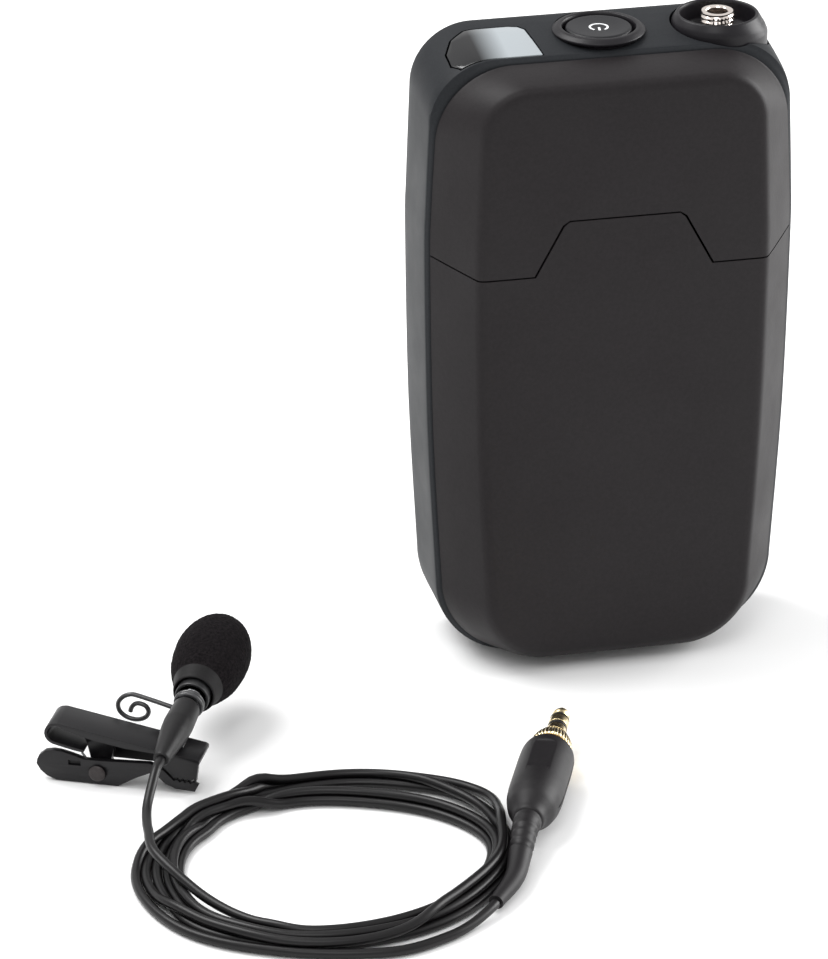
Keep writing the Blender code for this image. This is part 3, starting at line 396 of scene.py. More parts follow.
# How the passes of the coil lie at stations round it, in millimetres: angle, then (distance from the
# coil's centre, height) for each pass, the first one from the microphone, the last one to the plug.
COIL_STATIONS = [
    (180, [(27.6, 5.4), (24.2, 0.9), (26.0, 0.9), (25.3, 2.4), (28.0, 0.9), (29.9, 0.9), (31.7, 0.9)]),
    (215, [(24.2, 2.6), (26.9, 0.9), (28.6, 0.9), (27.8, 2.4), (30.3, 0.9), (29.6, 2.4), (32.2, 0.9)]),
    (250, [(26.2, 2.4), (25.4, 0.9), (27.1, 0.9), (27.9, 2.4), (28.9, 0.9), (29.7, 2.4), (30.7, 0.9)]),
    (283, [(25.7, 2.4), (24.9, 0.9), (26.6, 0.9), (27.6, 2.4), (28.4, 0.9), (29.4, 2.4), (31.4, 0.9)]),
    (312, [(26.9, 2.4), (26.0, 0.9), (27.8, 0.9), (28.6, 2.4), (29.6, 0.9), (27.6, 3.9)]),
    (343, [(29.6, 2.4), (28.7, 0.9), (30.4, 0.9), (31.2, 2.4), (32.1, 0.9), (30.4, 3.9)]),
    (5, [(30.6, 2.4), (29.8, 0.9), (31.5, 0.9), (32.3, 2.4), (33.2, 0.9), (32.0, 3.9)]),
    (30, [(27.4, 2.2), (26.6, 0.9), (28.3, 0.9), (33.0, 2.2), (34.0, 0.9), (37.6, 1.2)]),
    (60, [(23.8, 2.2), (22.9, 0.9), (24.7, 0.9), (31.0, 2.2), (30.0, 0.9), (32.9, 1.4)]),
    (90, [(23.3, 2.3), (22.4, 0.9), (24.2, 0.9), (27.6, 2.3), (26.8, 0.9), (28.6, 0.9)]),
    (120, [(23.2, 0.9), (24.0, 2.4), (24.9, 0.9), (25.7, 2.4), (26.6, 0.9), (24.9, 3.8)]),
    (150, [(23.4, 0.9), (25.1, 0.9), (24.3, 2.4), (26.9, 0.9), (28.7, 0.9), (27.8, 2.4)])]
DROP = [(-92.4, -53.6, 8.3), (-94.0, -57.6, 6.5), (-94.8, -61.4, 5.9), (-95.2, -65.4, 5.8)]
TAIL = [(-62.0, -106.0, 0.9), (-54.4, -104.0, 0.9), (-48.2, -100.5, 0.95)]
RELIEF = [(-35.1, -82.6, 3.3), (-37.7, -88.9, 2.4), (-42.2, -95.0, 1.8)]


def coil_anchors():
    """Every pass in order, from over the coil's left side round to its front."""
    anchors = []
    passes = 7
    for turn in range(passes):
        for angle, slots in COIL_STATIONS:
            if turn == passes - 1 and angle not in (180, 215, 250):
                continue
            radius, height = slots[turn] if turn < len(slots) else slots[-1]
            way = math.radians(angle)
            spot = COIL_CENTRE + Vector((radius * math.cos(way), radius * math.sin(way), height)) * MM
            anchors.append(spot)
    return anchors


def relief_path():
    start = PLUG_TIP - PLUG_AXIS * (PLUG_BODY_LENGTH + 0.3) * MM
    anchors = [start, start - PLUG_AXIS * 3 * MM] + [Vector(p) * MM for p in RELIEF]
    return smooth_path(anchors, 0.6 * MM)


def lead_route():
    """The lead's whole length, from inside the boot to inside the plug's strain relief."""
    relief = relief_path()
    heading = (relief[-1] - relief[-2]).normalized()
    anchors = [BOOT_END + MIC_AXIS * ahead * MM for ahead in (1.0, -1.2, -3.0)]
    anchors += [Vector(p) * MM for p in DROP]
    anchors += coil_anchors()
    anchors += [Vector(p) * MM for p in TAIL]
    anchors += [relief[-1] + heading * 1.5 * MM, relief[-1] - heading * 1.5 * MM]
    points = np.array([tuple(p) for p in smooth_path(anchors, 1.1 * MM)])
    return settle(even(points, 1.15 * MM))


def even(points, spacing):
    """The same line with its points at equal distances."""
    steps = np.linalg.norm(np.diff(points, axis=0), axis=1)
    along = np.concatenate([[0], np.cumsum(steps)])
    count = int(along[-1] / spacing)
    wanted = np.linspace(0, along[-1], count + 1)
    return np.stack([np.interp(wanted, along, points[:, k]) for k in range(3)], axis=1)


def settle(points):
    """Lets the passes push each other apart and come to rest on the floor and on one another."""
    start = points.copy()
    count = len(points)
    hold = np.full(count, 0.03)
    hold[:14] = 1.0
    hold[-12:] = 1.0
    hold[14:30] = 0.3
    gap = 2.0 * LEAD_RADIUS * 1.02
    index = np.arange(count)
    rounds = 220
    for turn in range(rounds):
        if turn % 8 == 0:
            near = np.linalg.norm(points[:, None, :] - points[None, :, :], axis=2) < gap + 2.0 * MM
            a, b = np.nonzero(near & (index[None, :] - index[:, None] > 6))
        middle = (points[:-2] + points[2:]) / 2
        points[1:-1] += 0.35 * (middle - points[1:-1])
        points[:, 2] -= 0.012 * MM
        for again in range(3):
            across = points[b] - points[a]
            distance = np.maximum(np.linalg.norm(across, axis=1), 1e-7)
            push = np.clip(gap - distance, 0, None)[:, None] * across / distance[:, None] * 0.4
            shift = np.zeros_like(points)
            weight = np.zeros(count)
            np.add.at(shift, a, -push)
            np.add.at(shift, b, push)
            np.add.at(weight, a, push.any(axis=1))
            np.add.at(weight, b, push.any(axis=1))
            points += shift / np.maximum(weight, 1)[:, None]
            points[:, 2] = np.maximum(points[:, 2], LEAD_RADIUS)
        points += hold[:, None] * (start - points)
    return points


def lead(material):
    route = lead_route()
    cord = tube("lead", [Vector(p) for p in route], LEAD_RADIUS, 4)
    add(cord, "lead", "base", material, ("lead_drop", "lead_coil", "lead_tail"))
    return cord


# ------------------------------------------------------------------ belt pack

HALF_MID, HALF_FOOT, HALF_TOP = 33.3, 31.1, 32.5
SEAM_Y, BACK_Y, SPLIT_Z = -2.5, 15.5, 77.5


def flat_smooth(points, steps):
    """Catmull-Rom through 2-D or longer number tuples, ends kept."""
    padded = [points[0], *points, points[-1]]
    result = []
    for a, b, c, d in zip(padded, padded[1:], padded[2:], padded[3:]):
        for k in range(steps):
            t = k / steps
            result.append(tuple(
                (2 * q + (r - p) * t + (2 * p - 5 * q + 4 * r - s) * t * t
                 + (3 * q - p - 3 * r + s) * t ** 3) / 2 for p, q, r, s in zip(a, b, c, d)))
    return result + [points[-1]]


def pack_ring(y, inset, top, bottom, top_radius, foot_radius):
    """The pack's outline at one depth: slightly barrelled sides, large round corners."""
    mid, side, foot = HALF_MID - inset, HALF_TOP - inset, HALF_FOOT - inset
    flank = [(foot, bottom + foot_radius), (mid - 0.6, 45.0), (mid, SPLIT_Z), (mid - 0.2, 88.0),
             (side, top - top_radius)]
    right = arc(foot - foot_radius, bottom + foot_radius, foot_radius, -90, 0, 18)
    right += flat_smooth(flank, 4)[1:-1]
    right += arc(side - top_radius, top - top_radius, top_radius, 0, 90, 18)
    left = [(-x, z) for x, z in reversed(right)]
    return [Vector((x, y, z)) * MM for x, z in right + left]


def dish(name, inner, outer):
    """A moulding open on one side: from the inner floor out to the rim, then over the outer face."""
    rows = inner + outer[:1] + flat_smooth(outer[1:], 3)
    bm = bmesh.new()
    rings = [[bm.verts.new(spot) for spot in pack_ring(*row)] for row in rows]
    count = len(rings[0])
    for a, b in zip(rings, rings[1:]):
        for i in range(count):
            j = (i + 1) % count
            bm.faces.new((a[i], a[j], b[j], b[i]))
    bm.faces.new(rings[0])
    bm.faces.new(rings[-1])
    return mesh_object(bm, name)


def rear_dish(name):
    inner = [(13.9, 2.6, 113.2, 2.6, 8.6, 12.4), (13.2, 1.7, 114.0, 1.7, 9.4, 13.3),
             (5.0, 1.6, 113.5, 1.6, 9.4, 13.4), (-0.8, 1.6, 112.7, 1.6, 9.8, 13.4),
             (-2.35, 2.3, 111.9, 2.2, 12.4, 14.0)]
    outer = [(-2.35, 0.8, 113.45, 0.7, 14.0, 15.6), (-2.2, 0.55, 113.65, 0.45, 13.6, 15.5),
             (-1.7, 0.2, 114.0, 0.15, 12.4, 15.2), (-0.8, 0.0, 114.3, 0.0, 11.4, 15.0),
             (5.0, 0.0, 115.1, 0.0, 11.0, 15.0), (13.6, 0.0, 115.8, 0.0, 11.0, 15.0),
             (14.9, 0.5, 115.3, 0.5, 10.6, 14.5), (15.35, 1.2, 114.6, 1.2, 10.0, 13.8),
             (15.5, 2.0, 113.8, 2.0, 9.3, 13.1)]
    return dish(name, inner, outer)


def front_dish(name):
    inner = [(-11.0, 9.3, 109.7, 6.8, 6.8, 9.8), (-10.5, 8.2, 110.8, 5.4, 7.6, 10.8),
             (-7.8, 6.1, 111.5, 3.5, 9.4, 12.6), (-2.65, 2.4, 112.0, 2.2, 12.4, 14.9)]
    outer = [(-2.65, 0.85, 113.4, 0.7, 14.0, 15.6), (-2.85, 0.75, 113.5, 0.62, 13.9, 15.5),
             (-3.2, 1.0, 113.45, 0.7, 13.8, 15.4), (-5.6, 2.6, 113.3, 1.1, 12.4, 14.6),
             (-8.5, 4.6, 113.0, 1.6, 10.6, 13.8), (-10.9, 6.3, 112.55, 2.6, 9.2, 12.4),
             (-11.8, 7.0, 112.1, 3.5, 8.6, 11.7), (-12.3, 7.7, 111.4, 4.4, 8.0, 11.0),
             (-12.5, 8.8, 110.3, 5.8, 7.0, 10.0)]
    return dish(name, inner, outer)


def split_tool(shift):
    """Everything below the stepped joint between front cover and battery door."""
    z, lift = SPLIT_Z + shift, 2.6
    right = [(36.0, -5.0), (36.0, z + lift), (26.0, z), (16.0 + shift, z), (11.0 + shift, z + 9.2),
             (9.9, z + 10.0)]
    outline = right + [(-x, h) for x, h in reversed(right)]
    place = Matrix.Rotation(math.radians(90), 4, 'X')
    return prism("split", outline, -10.0, 20.0, place)


def window_outline(grow):
    left, right, near, far = -27.8 - grow, -12.2 + grow, -0.9 - grow, 10.3 + grow
    return [(left + 1.3, near), (right, near), (right - 1.0, far - 1.6), (right - 2.0, far - 0.4),
            (right - 3.6, far), (left + 4.2, far), (left + 1.6, far - 1.6), (left, far - 5.0),
            (left, near + 2.4)]


def collar_wall(radius, height, angle):
    """The socket collar's wall swells towards the pack's flank below its lip."""
    if radius < 7.8:
        return radius
    return radius + 0.85 * max(0.0, math.cos(angle)) ** 2 * min(1.0, max(0.0, (115.6 - height) / 2.0))


def plug_of(x, radius, low, back=0.0, shape=None):
    place = Matrix.Translation((x, TOP_CENTRE_Y + back * MM, 0))
    profile = [(0, 126.0), (radius, 126.0), (radius, 115.6), (radius, 113.6), (radius, low), (0, low)]
    return lathe("tool", profile, 96, place, shape=shape)


def screw_place(side):
    place = Matrix.Translation(Vector((side * 21.5, BACK_Y - 0.25, 66.0)) * MM)
    return place @ Matrix.Rotation(math.radians(-90), 4, 'X')


def pack_shells(looks):
    shell = rear_dish("rear_case")
    tools = [prism("tool", window_outline(0.3), 105.0, 125.0),
             plug_of(BUTTON_X, 7.85, 109.0, back=0.6), plug_of(SOCKET_X, 8.4, 100.0, shape=collar_wall)]
    for side in (-1, 1):
        ends = sorted((side * LUG_INNER, side * LUG_OUTER))
        lug = block("tool", (ends[0], 14.1, BELT_PIN_Z - 2.2), (ends[1], BELT_PIN_Y + 2.2, BELT_PIN_Z + 2.2))
        cut(shell, bevel(lug, 1.2, 6), operation='UNION')
        place = Matrix.Translation(Vector((0, BELT_PIN_Y, BELT_PIN_Z)) * MM)
        place = place @ Matrix.Rotation(math.radians(90 * side), 4, 'Y')
        tools.append(lathe("tool", [(0, 30), (1.3, 30), (1.3, 20), (0, 20)], 32, place))
        head = [(0, 3.0), (2.6, 3.0), (2.6, -0.8), (1.4, -1.8), (1.4, -7.3), (0, -7.3)]
        tools.append(lathe("tool", head, 32, screw_place(side)))
    cut(shell, *tools)
    add(shell, "rear_case", "base", looks["shell_grey"], ("rear_shell",))

    window = rear_dish("window")
    cut(window, prism("tool", window_outline(0.0), 105.0, 125.0), operation='INTERSECT')
    bevel(window, 0.22, 2, 40)
    add(window, "window", "base", looks["window_gloss"], ("status_window",))

    cover = cut(front_dish("cover"), split_tool(0.14))
    add(cover, "cover", "base", looks["shell_charcoal"], ("front_cover",))
    door = cut(front_dish("door"), split_tool(-0.14), operation='INTERSECT')
    add(door, "door", "battery_door", looks["shell_charcoal"], ("battery_door",))

    half = [(x, BELT_PIN_Y, BELT_PIN_Z) for x in (-22.5, -24.2, -26.0)]
    half += [(-27.7, 17.7, 108.5), (-28.9, 18.1, 106.8), (-29.5, 18.9, 104.2), (-29.3, 20.2, 100.6),
             (-28.6, 21.2, 96.5), (-26.4, 21.3, 86), (-22.8, 21.3, 70), (-20.2, 21.3, 56),
             (-17.6, 21.5, 48.5), (-13.5, 22.0, 44.6), (-7.0, 22.5, 43.2), (0.0, 22.6, 43.0)]
    anchors = [Vector(p) * MM for p in half]
    anchors += [Vector((-p.x, p.y, p.z)) for p in reversed(anchors[:-1])]
    wire = tube("belt_wire", smooth_path(anchors, 1.0 * MM), 1.0 * MM, 8)
    add(wire, "belt_wire", "belt_clip", looks["trim_dark"], ("belt_clip",))
    for side, name in ((-1, "left"), (1, "right")):
        profile = rounded([(0, 0.0), (2.3, 0.0), (2.3, -0.5), (1.1, -1.5), (1.1, -7.0), (0, -7.0)], 0.15, 3)
        place = screw_place(side)
        screw = lathe("screw_" + name, profile, 40, place)
        cut(screw, block("tool", (-1.6, -0.3, -0.6), (1.6, 0.3, 1.0), place),
            block("tool", (-0.3, -1.6, -0.6), (0.3, 1.6, 1.0), place))
        add(screw, "screw_" + name, "base", looks["tin_plate"], ("case_screw_" + name,))


def pack_top(looks):
    button = Matrix.Translation((BUTTON_X, TOP_CENTRE_Y, 0))
    socket = Matrix.Translation((SOCKET_X, TOP_CENTRE_Y, 0))

    def skirt(radius, height, angle):
        return radius + 0.3 * math.sin(angle) if radius > 7.0 and height < 114.95 else radius

    ring = rounded([(6.4, 115.7), (6.6, 116.2), (7.35, 116.2), (8.25, 115.5), (8.15, 115.1), (7.35, 114.7),
                    (7.35, 112.2), (6.4, 112.2)], 0.4, 5, True)
    bezel = lathe("bezel", ring, 96, button, True, skirt)
    add(bezel, "bezel", "base", looks["trim_dark"], ("button_bezel",))
    cap = [(0, 115.75), (1.5, 115.77), (3.5, 115.85), (4.6, 115.95), (5.3, 116.0)]
    cap += arc(5.3, 115.4, 0.6, 90, 0, 6)
    cap += [(5.9, 113.4), (1.5, 113.4), (1.5, 105.4), (0, 105.4)]
    key = lathe("key", cap, 96, button)
    add(key, "key", "power_button", looks["button_grey"], ("power_button",))
    mark_place = button @ Matrix.Rotation(math.radians(172), 4, 'Z')
    icon = arc(0, 0, 1.75, 125, 415, 40) + arc(0, 0, 1.38, 415, 125, 40)
    mark = prism("mark_ring", icon, 115.7, 115.835, mark_place)
    add(mark, "mark_ring", "power_button", looks["mark_pale"])
    stroke = prism("mark_stroke", [(-0.2, 0.3), (0.2, 0.3), (0.2, 1.75), (-0.2, 1.75)], 115.7, 115.85,
                   mark_place)
    add(stroke, "mark_stroke", "power_button", looks["mark_pale"])

    wall = [(6.55, 116.4), (6.75, 116.9), (7.2, 116.85), (7.9, 115.7), (8.1, 114.9), (8.1, 113.4),
            (8.1, 104.5), (3.25, 104.5), (3.25, 111.7), (3.6, 111.75), (5.6, 112.2), (6.55, 113.6)]
    collar = lathe("collar", rounded(wall, 0.3, 4, True), 96, socket, True, collar_wall)
    add(collar, "collar", "base", looks["trim_dark"], ("socket_collar",))

    def thread(radius, height, angle):
        if radius < 2.6 or height < 111.6:
            return radius
        turn = ((height - 103.0) / 0.8 - angle / (2 * math.pi)) % 1.0
        fade = min(1.0, (117.2 - height) / 0.4)
        return 2.95 - 0.32 * fade * (1 - abs(2 * turn - 1)) - 0.18 * (1 - fade)

    profile = [(1.85, 117.0), (2.0, 117.2), (2.7, 117.2)]
    profile += [(2.95, 117.15 - 0.1 * i) for i in range(56)]
    profile += [(2.65, 111.5), (2.65, 103.4), (1.85, 103.4)]
    sleeve = lathe("threaded_sleeve", profile, 96, socket, True, thread)
    grooves = []
    for k in range(7):
        turn = Matrix.Rotation(math.radians(-105 + 14 * k - 12), 4, 'Z')
        grooves.append(block("tool", (2.66, -0.16, 113.0), (3.4, 0.16, 116.6), socket @ turn))
    cut(sleeve, *grooves)
    add(sleeve, "threaded_sleeve", "base", looks["gold_pale"], ("socket_sleeve",))


# ------------------------------------------------------------------ tie clip

def tidy_copy(node, name, width, segments=3):
    """A CAD solid's own shape as a new mesh, its triangles merged and its edges rounded."""
    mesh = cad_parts[node].data.copy()
    bm = bmesh.new()
    bm.from_mesh(mesh)
    bmesh.ops.remove_doubles(bm, verts=bm.verts, dist=0.000004)
    bmesh.ops.dissolve_limit(bm, angle_limit=math.radians(1.0), verts=bm.verts, edges=bm.edges)
    obj = mesh_object(bm, name)
    return bevel(obj, width, segments, 28)


def tie_clip(looks):
    for node, name, body in (("clip_upper_lever", "upper_lever", "base"),
                             ("clip_lower_lever", "lower_lever", "clip_lower_lever")):
        lever = tidy_copy(node, name, 0.12, 2)
        add(lever, name, body, looks["clip_black"], (node,), 40)
    place = CLIP_PLACE @ Matrix.Translation(Vector((RIVET_X, 0, RIVET_Z)) * MM)
    place = place @ Matrix.Rotation(math.radians(-90), 4, 'X')
    profile = [(0, 5.7), (0.9, 5.65), (1.48, 5.3), (1.48, 5.15), (0.75, 5.15), (0.75, -0.3), (1.48, -0.3),
               (1.48, -0.5), (1.15, -0.74), (0.6, -0.84), (0, -0.85)]
    rivet = lathe("rivet", rounded(profile, 0.12, 3), 48, place)
    add(rivet, "rivet", "base", looks["rivet"], ("clip_pin",))
    coil_radius = 1.35
    points = [Vector((-7.2, 1.75, RIVET_Z))]
    for i in range(49):
        t = i / 48
        angle = math.radians(200 - 695 * t)
        points.append(Vector((RIVET_X + coil_radius * math.cos(angle), 1.5 + 0.85 * t,
                              RIVET_Z + coil_radius * math.sin(angle))))
    points.append(Vector((-7.0, 2.35, 4.6)))
    spring = tube("torsion_spring", [CLIP_PLACE @ (p * MM) for p in points], 0.22 * MM, 4)
    add(spring, "torsion_spring", "base", looks["spring_wire"], ("clip_spring",))


# ------------------------------------------------------------------ microphone

def foam(looks):
    """Egg of open-cell foam with a smooth moulded cone round its mouth."""
    profile = []
    for i in range(60):
        angle = math.radians(90 * i / 60)
        profile.append((FOAM_RADIUS * math.sin(angle), FOAM_WIDEST + FOAM_AHEAD * math.cos(angle)))
    for i in range(44):
        angle = math.radians(90 + 46 * i / 43)
        profile.append((FOAM_RADIUS * math.sin(angle), FOAM_WIDEST + FOAM_BEHIND * math.cos(angle)))
    skin = [(4.45, FOAM_SKIN_END), (4.3, 24.6), (4.05, 23.5), (3.82, 22.5), (3.7, 22.1), (3.55, 22.0),
            (3.45, 22.02), (3.36, 22.3), (3.35, 36.5), (0, 36.5)]
    piece = lathe("windshield_foam", profile + skin, 200, MIC_PLACE)
    inverse = MIC_PLACE.inverted()
    for vertex in piece.data.vertices:
        local = inverse @ vertex.co
        around = math.hypot(local.x, local.y)
        if local.z < 25.4 * MM or (around < 3.4 * MM and local.z < 37 * MM):
            continue
        out = Vector((local.x, local.y, (local.z - FOAM_WIDEST * MM) * 0.35)).normalized()
        pore = abs(mnoise.noise(local * 1900)) - 0.25
        lump = mnoise.noise(local * 420)
        vertex.co = MIC_PLACE @ (local + out * (0.16 * pore + 0.05 * lump) * MM)
    add(piece, "windshield_foam", "windshield", looks["foam"], ("windshield",), 0)
    piece.data.shade_smooth()
    piece.data.materials.append(looks["foam_skin"])
    for face in piece.data.polygons:
        if (inverse @ face.center).z < (FOAM_SKIN_END + 0.03) * MM:
            face.material_index = 1


def microphone(looks):
    foam(looks)
    wall = [(1.6, 34.5), (2.4, 34.5), (3.05, 34.0), (3.05, 20.75), (2.95, 20.6), (2.62, 20.6), (2.5, 20.75),
            (2.5, 33.7), (1.6, 33.7)]
    housing = lathe("capsule_housing", rounded(wall, 0.12, 4, True), 96, MIC_PLACE, True)
    add(housing, "capsule_housing", "base", looks["mic_black"], ("mic_housing",))
    rod = [(0, 26.0), (1.95, 26.0), (1.95, 20.6), (1.6, 20.2), (1.6, 19.2), (1.5, 19.1), (1.5, 18.8),
           (1.6, 18.7), (1.6, 17.6), (0, 17.6)]
    neck = lathe("neck", rounded(rod, 0.1, 3), 64, MIC_PLACE)
    add(neck, "neck", "base", looks["neck_metal"], ("mic_neck",))
    boot = [(0, 17.3), (2.2, 17.3), (2.42, 17.05), (2.62, 12.3), (2.64, 11.5), (2.5, 9.0), (2.1, 5.4),
            (1.62, 1.6), (1.4, 0.3), (1.2, 0), (0, 0)]
    sleeve = lathe("boot", rounded(boot, 0.5, 6), 72, MIC_PLACE)
    add(sleeve, "boot", "base", looks["mic_rubber"], ("cable_boot",))
    holder = tidy_copy("mic_holder", "holder", 0.08, 2)
    add(holder, "holder", "base", looks["clip_black"], ("mic_holder",), 40)
    disc = rounded([(0, 35.1), (2.2, 35.05), (2.2, 34.8), (0, 34.8)], 0.06, 2)
    mesh = lathe("front_mesh", disc, 64, MIC_PLACE)
    add(mesh, "front_mesh", "base", looks["spring_wire"], ("mic_grille",))

    ring = 1.6 + 0.3 + 0.42
    points = []
    for i in range(101):
        angle = math.radians(112 - 600 + 6.0 * i)
        points.append(Vector((ring * math.cos(angle), ring * math.sin(angle), 18.15 + 0.0125 * i)))
    curl = [(-3.2, 1.4), (-6.4, 0.5), (-9.6, -0.3), (-10.8, -0.3), (-12.1, 0.4), (-12.95, 1.7), (-12.8, 3.1),
            (-11.9, 4.1), (-10.6, 4.6), (-9.2, 4.55), (-8.0, 3.9), (-7.5, 2.8), (-7.9, 1.8), (-8.85, 1.35),
            (-9.8, 1.45), (-10.5, 2.2), (-10.8, 3.1)]
    points += smooth_path([points[-1]] + [Vector((x, y, 19.4)) for x, y in curl], 0.25)[1:]
    wire = tube("hook_wire", [MIC_PLACE @ (p * MM) for p in points], 0.42 * MM, 6)
    add(wire, "hook_wire", "base", looks["black_wire"], ("clip_wire_hook",))


# ------------------------------------------------------------------ plug

def plug(looks):
    def part(name, node, profile, look, body="base", radius=0.08, closed=False, steps=72, shape=None):
        piece = lathe(name, rounded(profile, radius, 3, closed), steps, PLUG_PLACE, closed, shape)
        add(piece, name, body, looks[look], (node,))

    part("jack_tip", "plug_tip",
         [(0, 0), (0.5, -0.05), (1.05, -0.7), (1.45, -1.7), (1.62, -2.3), (1.35, -3.0), (1.35, -3.4),
          (0, -3.4)], "gold", radius=0.25)
    part("jack_band_front", "plug_insulator_front",
         [(0, -3.7), (1.62, -3.7), (1.75, -3.85), (1.75, -4.1), (0, -4.1)], "plug_black")
    part("jack_ring", "plug_ring", [(0, -4.4), (1.75, -4.4), (1.75, -6.5), (0, -6.5)], "gold")
    part("jack_band_rear", "plug_insulator_rear", [(0, -6.8), (1.75, -6.8), (1.75, -7.3), (0, -7.3)],
         "plug_black")
    part("jack_sleeve", "plug_sleeve",
         [(0, -7.6), (1.75, -7.6), (1.75, -15.8), (3.6, -15.8), (3.6, -16.6), (0, -16.6)],
         "gold", radius=0.12)

    def knurl(radius, height, angle):
        if radius < 2.65 or not -15.1 < height < -11.0:
            return radius
        return radius - 0.15 * (0.5 + 0.5 * math.cos(36 * angle + 0.5 * height))

    nut = [(2.4, -10.9), (2.7, -11.0), (2.95, -11.65), (3.2, -12.3), (3.45, -13.0), (3.6, -13.5),
           (3.75, -14.2), (3.75, -14.7), (3.75, -15.0), (3.5, -15.35), (2.1, -15.35), (2.1, -14.4),
           (2.2, -14.0), (2.2, -11.1)]
    part("locking_nut", "plug_collar", nut, "gold", "plug_collar", 0.1, True, 352, knurl)

    profile = rounded([(0, -17.0), (4.0, -17.0), (4.5, -17.4), (4.7, -18.4), (4.8, -22.0), (4.8, -32.0),
                       (4.65, -34.6), (4.1, -37.2), (3.0, -39.4), (2.55, -PLUG_BODY_LENGTH),
                       (0, -PLUG_BODY_LENGTH)], 0.7, 6)
    body = lathe("plug_shell", profile, 96, PLUG_PLACE)
    panel = bevel(block("tool", (-2.6, -6.0, -30.0), (2.6, -4.35, -19.5), PLUG_PLACE), 1.2, 6)
    tools = [panel]
    for x in (-4.9, 4.9):
        tools.append(block("tool", (x - 0.45, -0.16, -36.0), (x + 0.45, 0.16, -18.6), PLUG_PLACE))
    cut(body, *tools)
    add(body, "plug_shell", "base", looks["plug_rubber"], ("plug_body",))

    path = relief_path()
    radii = []
    length = 0.0
    for i, spot in enumerate(path):
        length += (spot - path[i - 1]).length / MM if i else 0.0
        t = i / (len(path) - 1)
        radius = 2.45 - 1.15 * t
        if 1.5 < length < 8.5:
            radius -= 0.42 * max(0.0, math.cos(2 * math.pi * (length - 2.4) / 1.75)) ** 2
        radii.append(radius * MM)
    relief = tube("relief", path, radii, 8)
    add(relief, "relief", "base", looks["plug_rubber"], ("plug_relief",))


# ------------------------------------------------------------------ pieces kept as the CAD made them

def inner_pieces(looks):
    keep = {"socket_body": "inner_black", "main_board": "circuit_board", "rf_shield": "tin_plate",
            "tact_switch": "inner_black", "status_light": "light_lens", "antenna": "copper_wire",
            "battery_tray": "inner_black", "battery_left": "cell_can", "battery_right": "cell_can",
            "battery_spring_left": "spring_wire", "battery_spring_right": "spring_wire",
            "battery_contact_left": "tin_plate", "battery_contact_right": "tin_plate",
            "mic_capsule": "neck_metal"}
    for node, look in keep.items():
        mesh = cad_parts[node].data
        mesh.materials.clear()
        mesh.materials.append(looks[look])


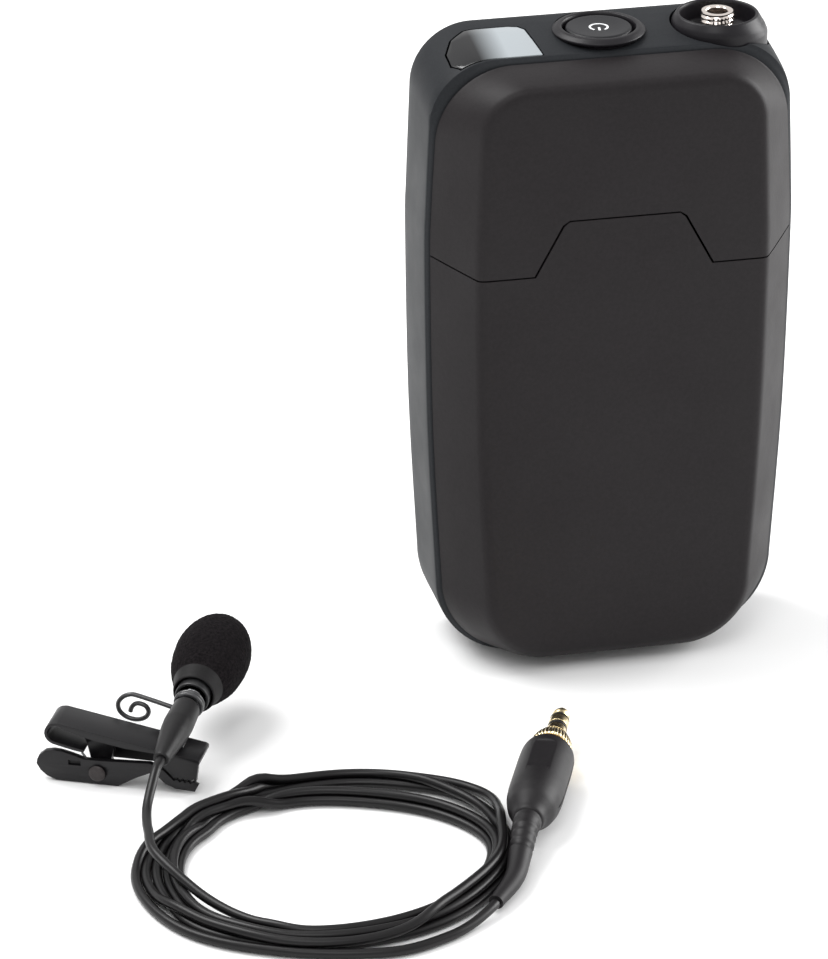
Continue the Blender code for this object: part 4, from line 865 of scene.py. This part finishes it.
def materials():
    looks = {
        "shell_grey": moulded("case_grey", (0.017, 0.0185, 0.021), 0.5, 2400, 0.000012, 0.12),
        "shell_charcoal": moulded("cover_charcoal", (0.0115, 0.0095, 0.0105), 0.5, 1500, 0.00003, 0.2),
        # The window's base colour is replaced further down by a painted reflection gradient.
        "window_gloss": surface("window_gloss", (0.02, 0.022, 0.025), 0.12),
        "trim_dark": moulded("trim_dark", (0.009, 0.008, 0.010), 0.4, 2600, 0.000015, 0.25),
        "button_grey": moulded("key_grey", (0.010, 0.010, 0.012), 0.4, 2600, 0.000015, 0.25),
        "mark_pale": moulded("mark_pale", (0.75, 0.76, 0.77), 0.5, 2000, 0.00001),
        "gold_pale": plated("pale_gold", (0.97, 0.88, 0.82), 0.16),
        "inner_black": moulded("inner_black", (0.025, 0.025, 0.027), 0.6),
        "circuit_board": moulded("board_green", (0.02, 0.12, 0.06), 0.5, 900),
        "tin_plate": plated("tin_plate", (0.62, 0.62, 0.62), 0.35),
        "light_lens": moulded("light_lens", (0.7, 0.74, 0.7), 0.3, 1200),
        "copper_wire": plated("copper", (0.8, 0.45, 0.28), 0.35),
        "cell_can": moulded("cell_sleeve", (0.05, 0.055, 0.07), 0.3, 700),
        "spring_wire": plated("spring_steel", (0.5, 0.5, 0.51), 0.3),
        "black_wire": moulded("black_wire", (0.035, 0.035, 0.037), 0.25, 1800, 0.000008, 0.7),
        "clip_black": moulded("clip_satin", (0.007, 0.0065, 0.0075), 0.36, 2200, 0.00001, 0.3),
        "rivet": moulded("rivet_bronze", (0.03, 0.025, 0.025), 0.4, 2000, 0.00001, 0.3),
        "mic_black": moulded("housing_satin", (0.015, 0.015, 0.016), 0.32, 2400, 0.000006, 0.5),
        "neck_metal": plated("neck_metal", (0.3, 0.3, 0.31), 0.18),
        "mic_rubber": moulded("boot_satin", (0.008, 0.0075, 0.008), 0.42, 2200, 0.00001, 0.25),
        "foam_skin": moulded("foam_skin", (0.010, 0.0095, 0.010), 0.55, 1500, 0.00002, 0.15),
        "cable": moulded("cable_sheath", (0.0045, 0.004, 0.0045), 0.36, 1800, 0.00001, 0.3),
        "plug_rubber": moulded("plug_rubber", (0.009, 0.008, 0.009), 0.48, 1800, 0.00002, 0.25),
        "plug_black": moulded("insulator_black", (0.015, 0.015, 0.016), 0.35, 1800, 0.00001),
        "gold": plated("gold_plate", (0.96, 0.80, 0.48), 0.22)}
    foam_look = surface("open_foam", (0.006, 0.005, 0.006), 0.95, specular=0.08)
    tree, shader = nodes_of(foam_look)
    cells = tree.nodes.new('ShaderNodeTexVoronoi')
    place = tree.nodes.new('ShaderNodeTexCoord')
    cells.inputs["Scale"].default_value = 2600
    tree.links.new(place.outputs["Object"], cells.inputs["Vector"])
    bump(foam_look, cells.outputs["Distance"], 0.00012, 0.9)
    tint(foam_look, noise(tree, 2200, 2.0), (0.003, 0.0025, 0.003), (0.012, 0.010, 0.011))
    looks["foam"] = foam_look

    # Painted reflection: the window's base colour runs from near-black at its left end to pale grey at its
    # right end, standing in for the right-hand lamp's reflection in the glossy window.
    glass = looks["window_gloss"]
    tree, shader = nodes_of(glass)
    place = tree.nodes.new('ShaderNodeTexCoord')
    split = tree.nodes.new('ShaderNodeSeparateXYZ')
    across = tree.nodes.new('ShaderNodeMapRange')
    across.inputs["From Min"].default_value = -0.028
    across.inputs["From Max"].default_value = -0.012
    ramp = tree.nodes.new('ShaderNodeValToRGB')
    ramp.color_ramp.elements[0].color = (0.006, 0.006, 0.007, 1)
    ramp.color_ramp.elements[1].color = (0.33, 0.36, 0.38, 1)
    ramp.color_ramp.elements[0].position = 0.3
    ramp.color_ramp.elements[1].position = 0.62
    tree.links.new(place.outputs["Object"], split.inputs["Vector"])
    tree.links.new(split.outputs["X"], across.inputs["Value"])
    tree.links.new(across.outputs["Result"], ramp.inputs["Fac"])
    tree.links.new(ramp.outputs["Color"], shader.inputs["Base Color"])
    bump(glass, noise(tree, 120, 2.0), 0.00001, 0.4)
    rough = spread(tree, noise(tree, 300, 3.0), 0.1, 0.16)
    tree.links.new(rough, shader.inputs["Roughness"])
    return looks


# ------------------------------------------------------------------ assembly

def main():
    camera()
    studio()
    looks = materials()
    pack_shells(looks)
    pack_top(looks)
    tie_clip(looks)
    microphone(looks)
    plug(looks)
    inner_pieces(looks)
    cord = lead(looks["cable"])


main()
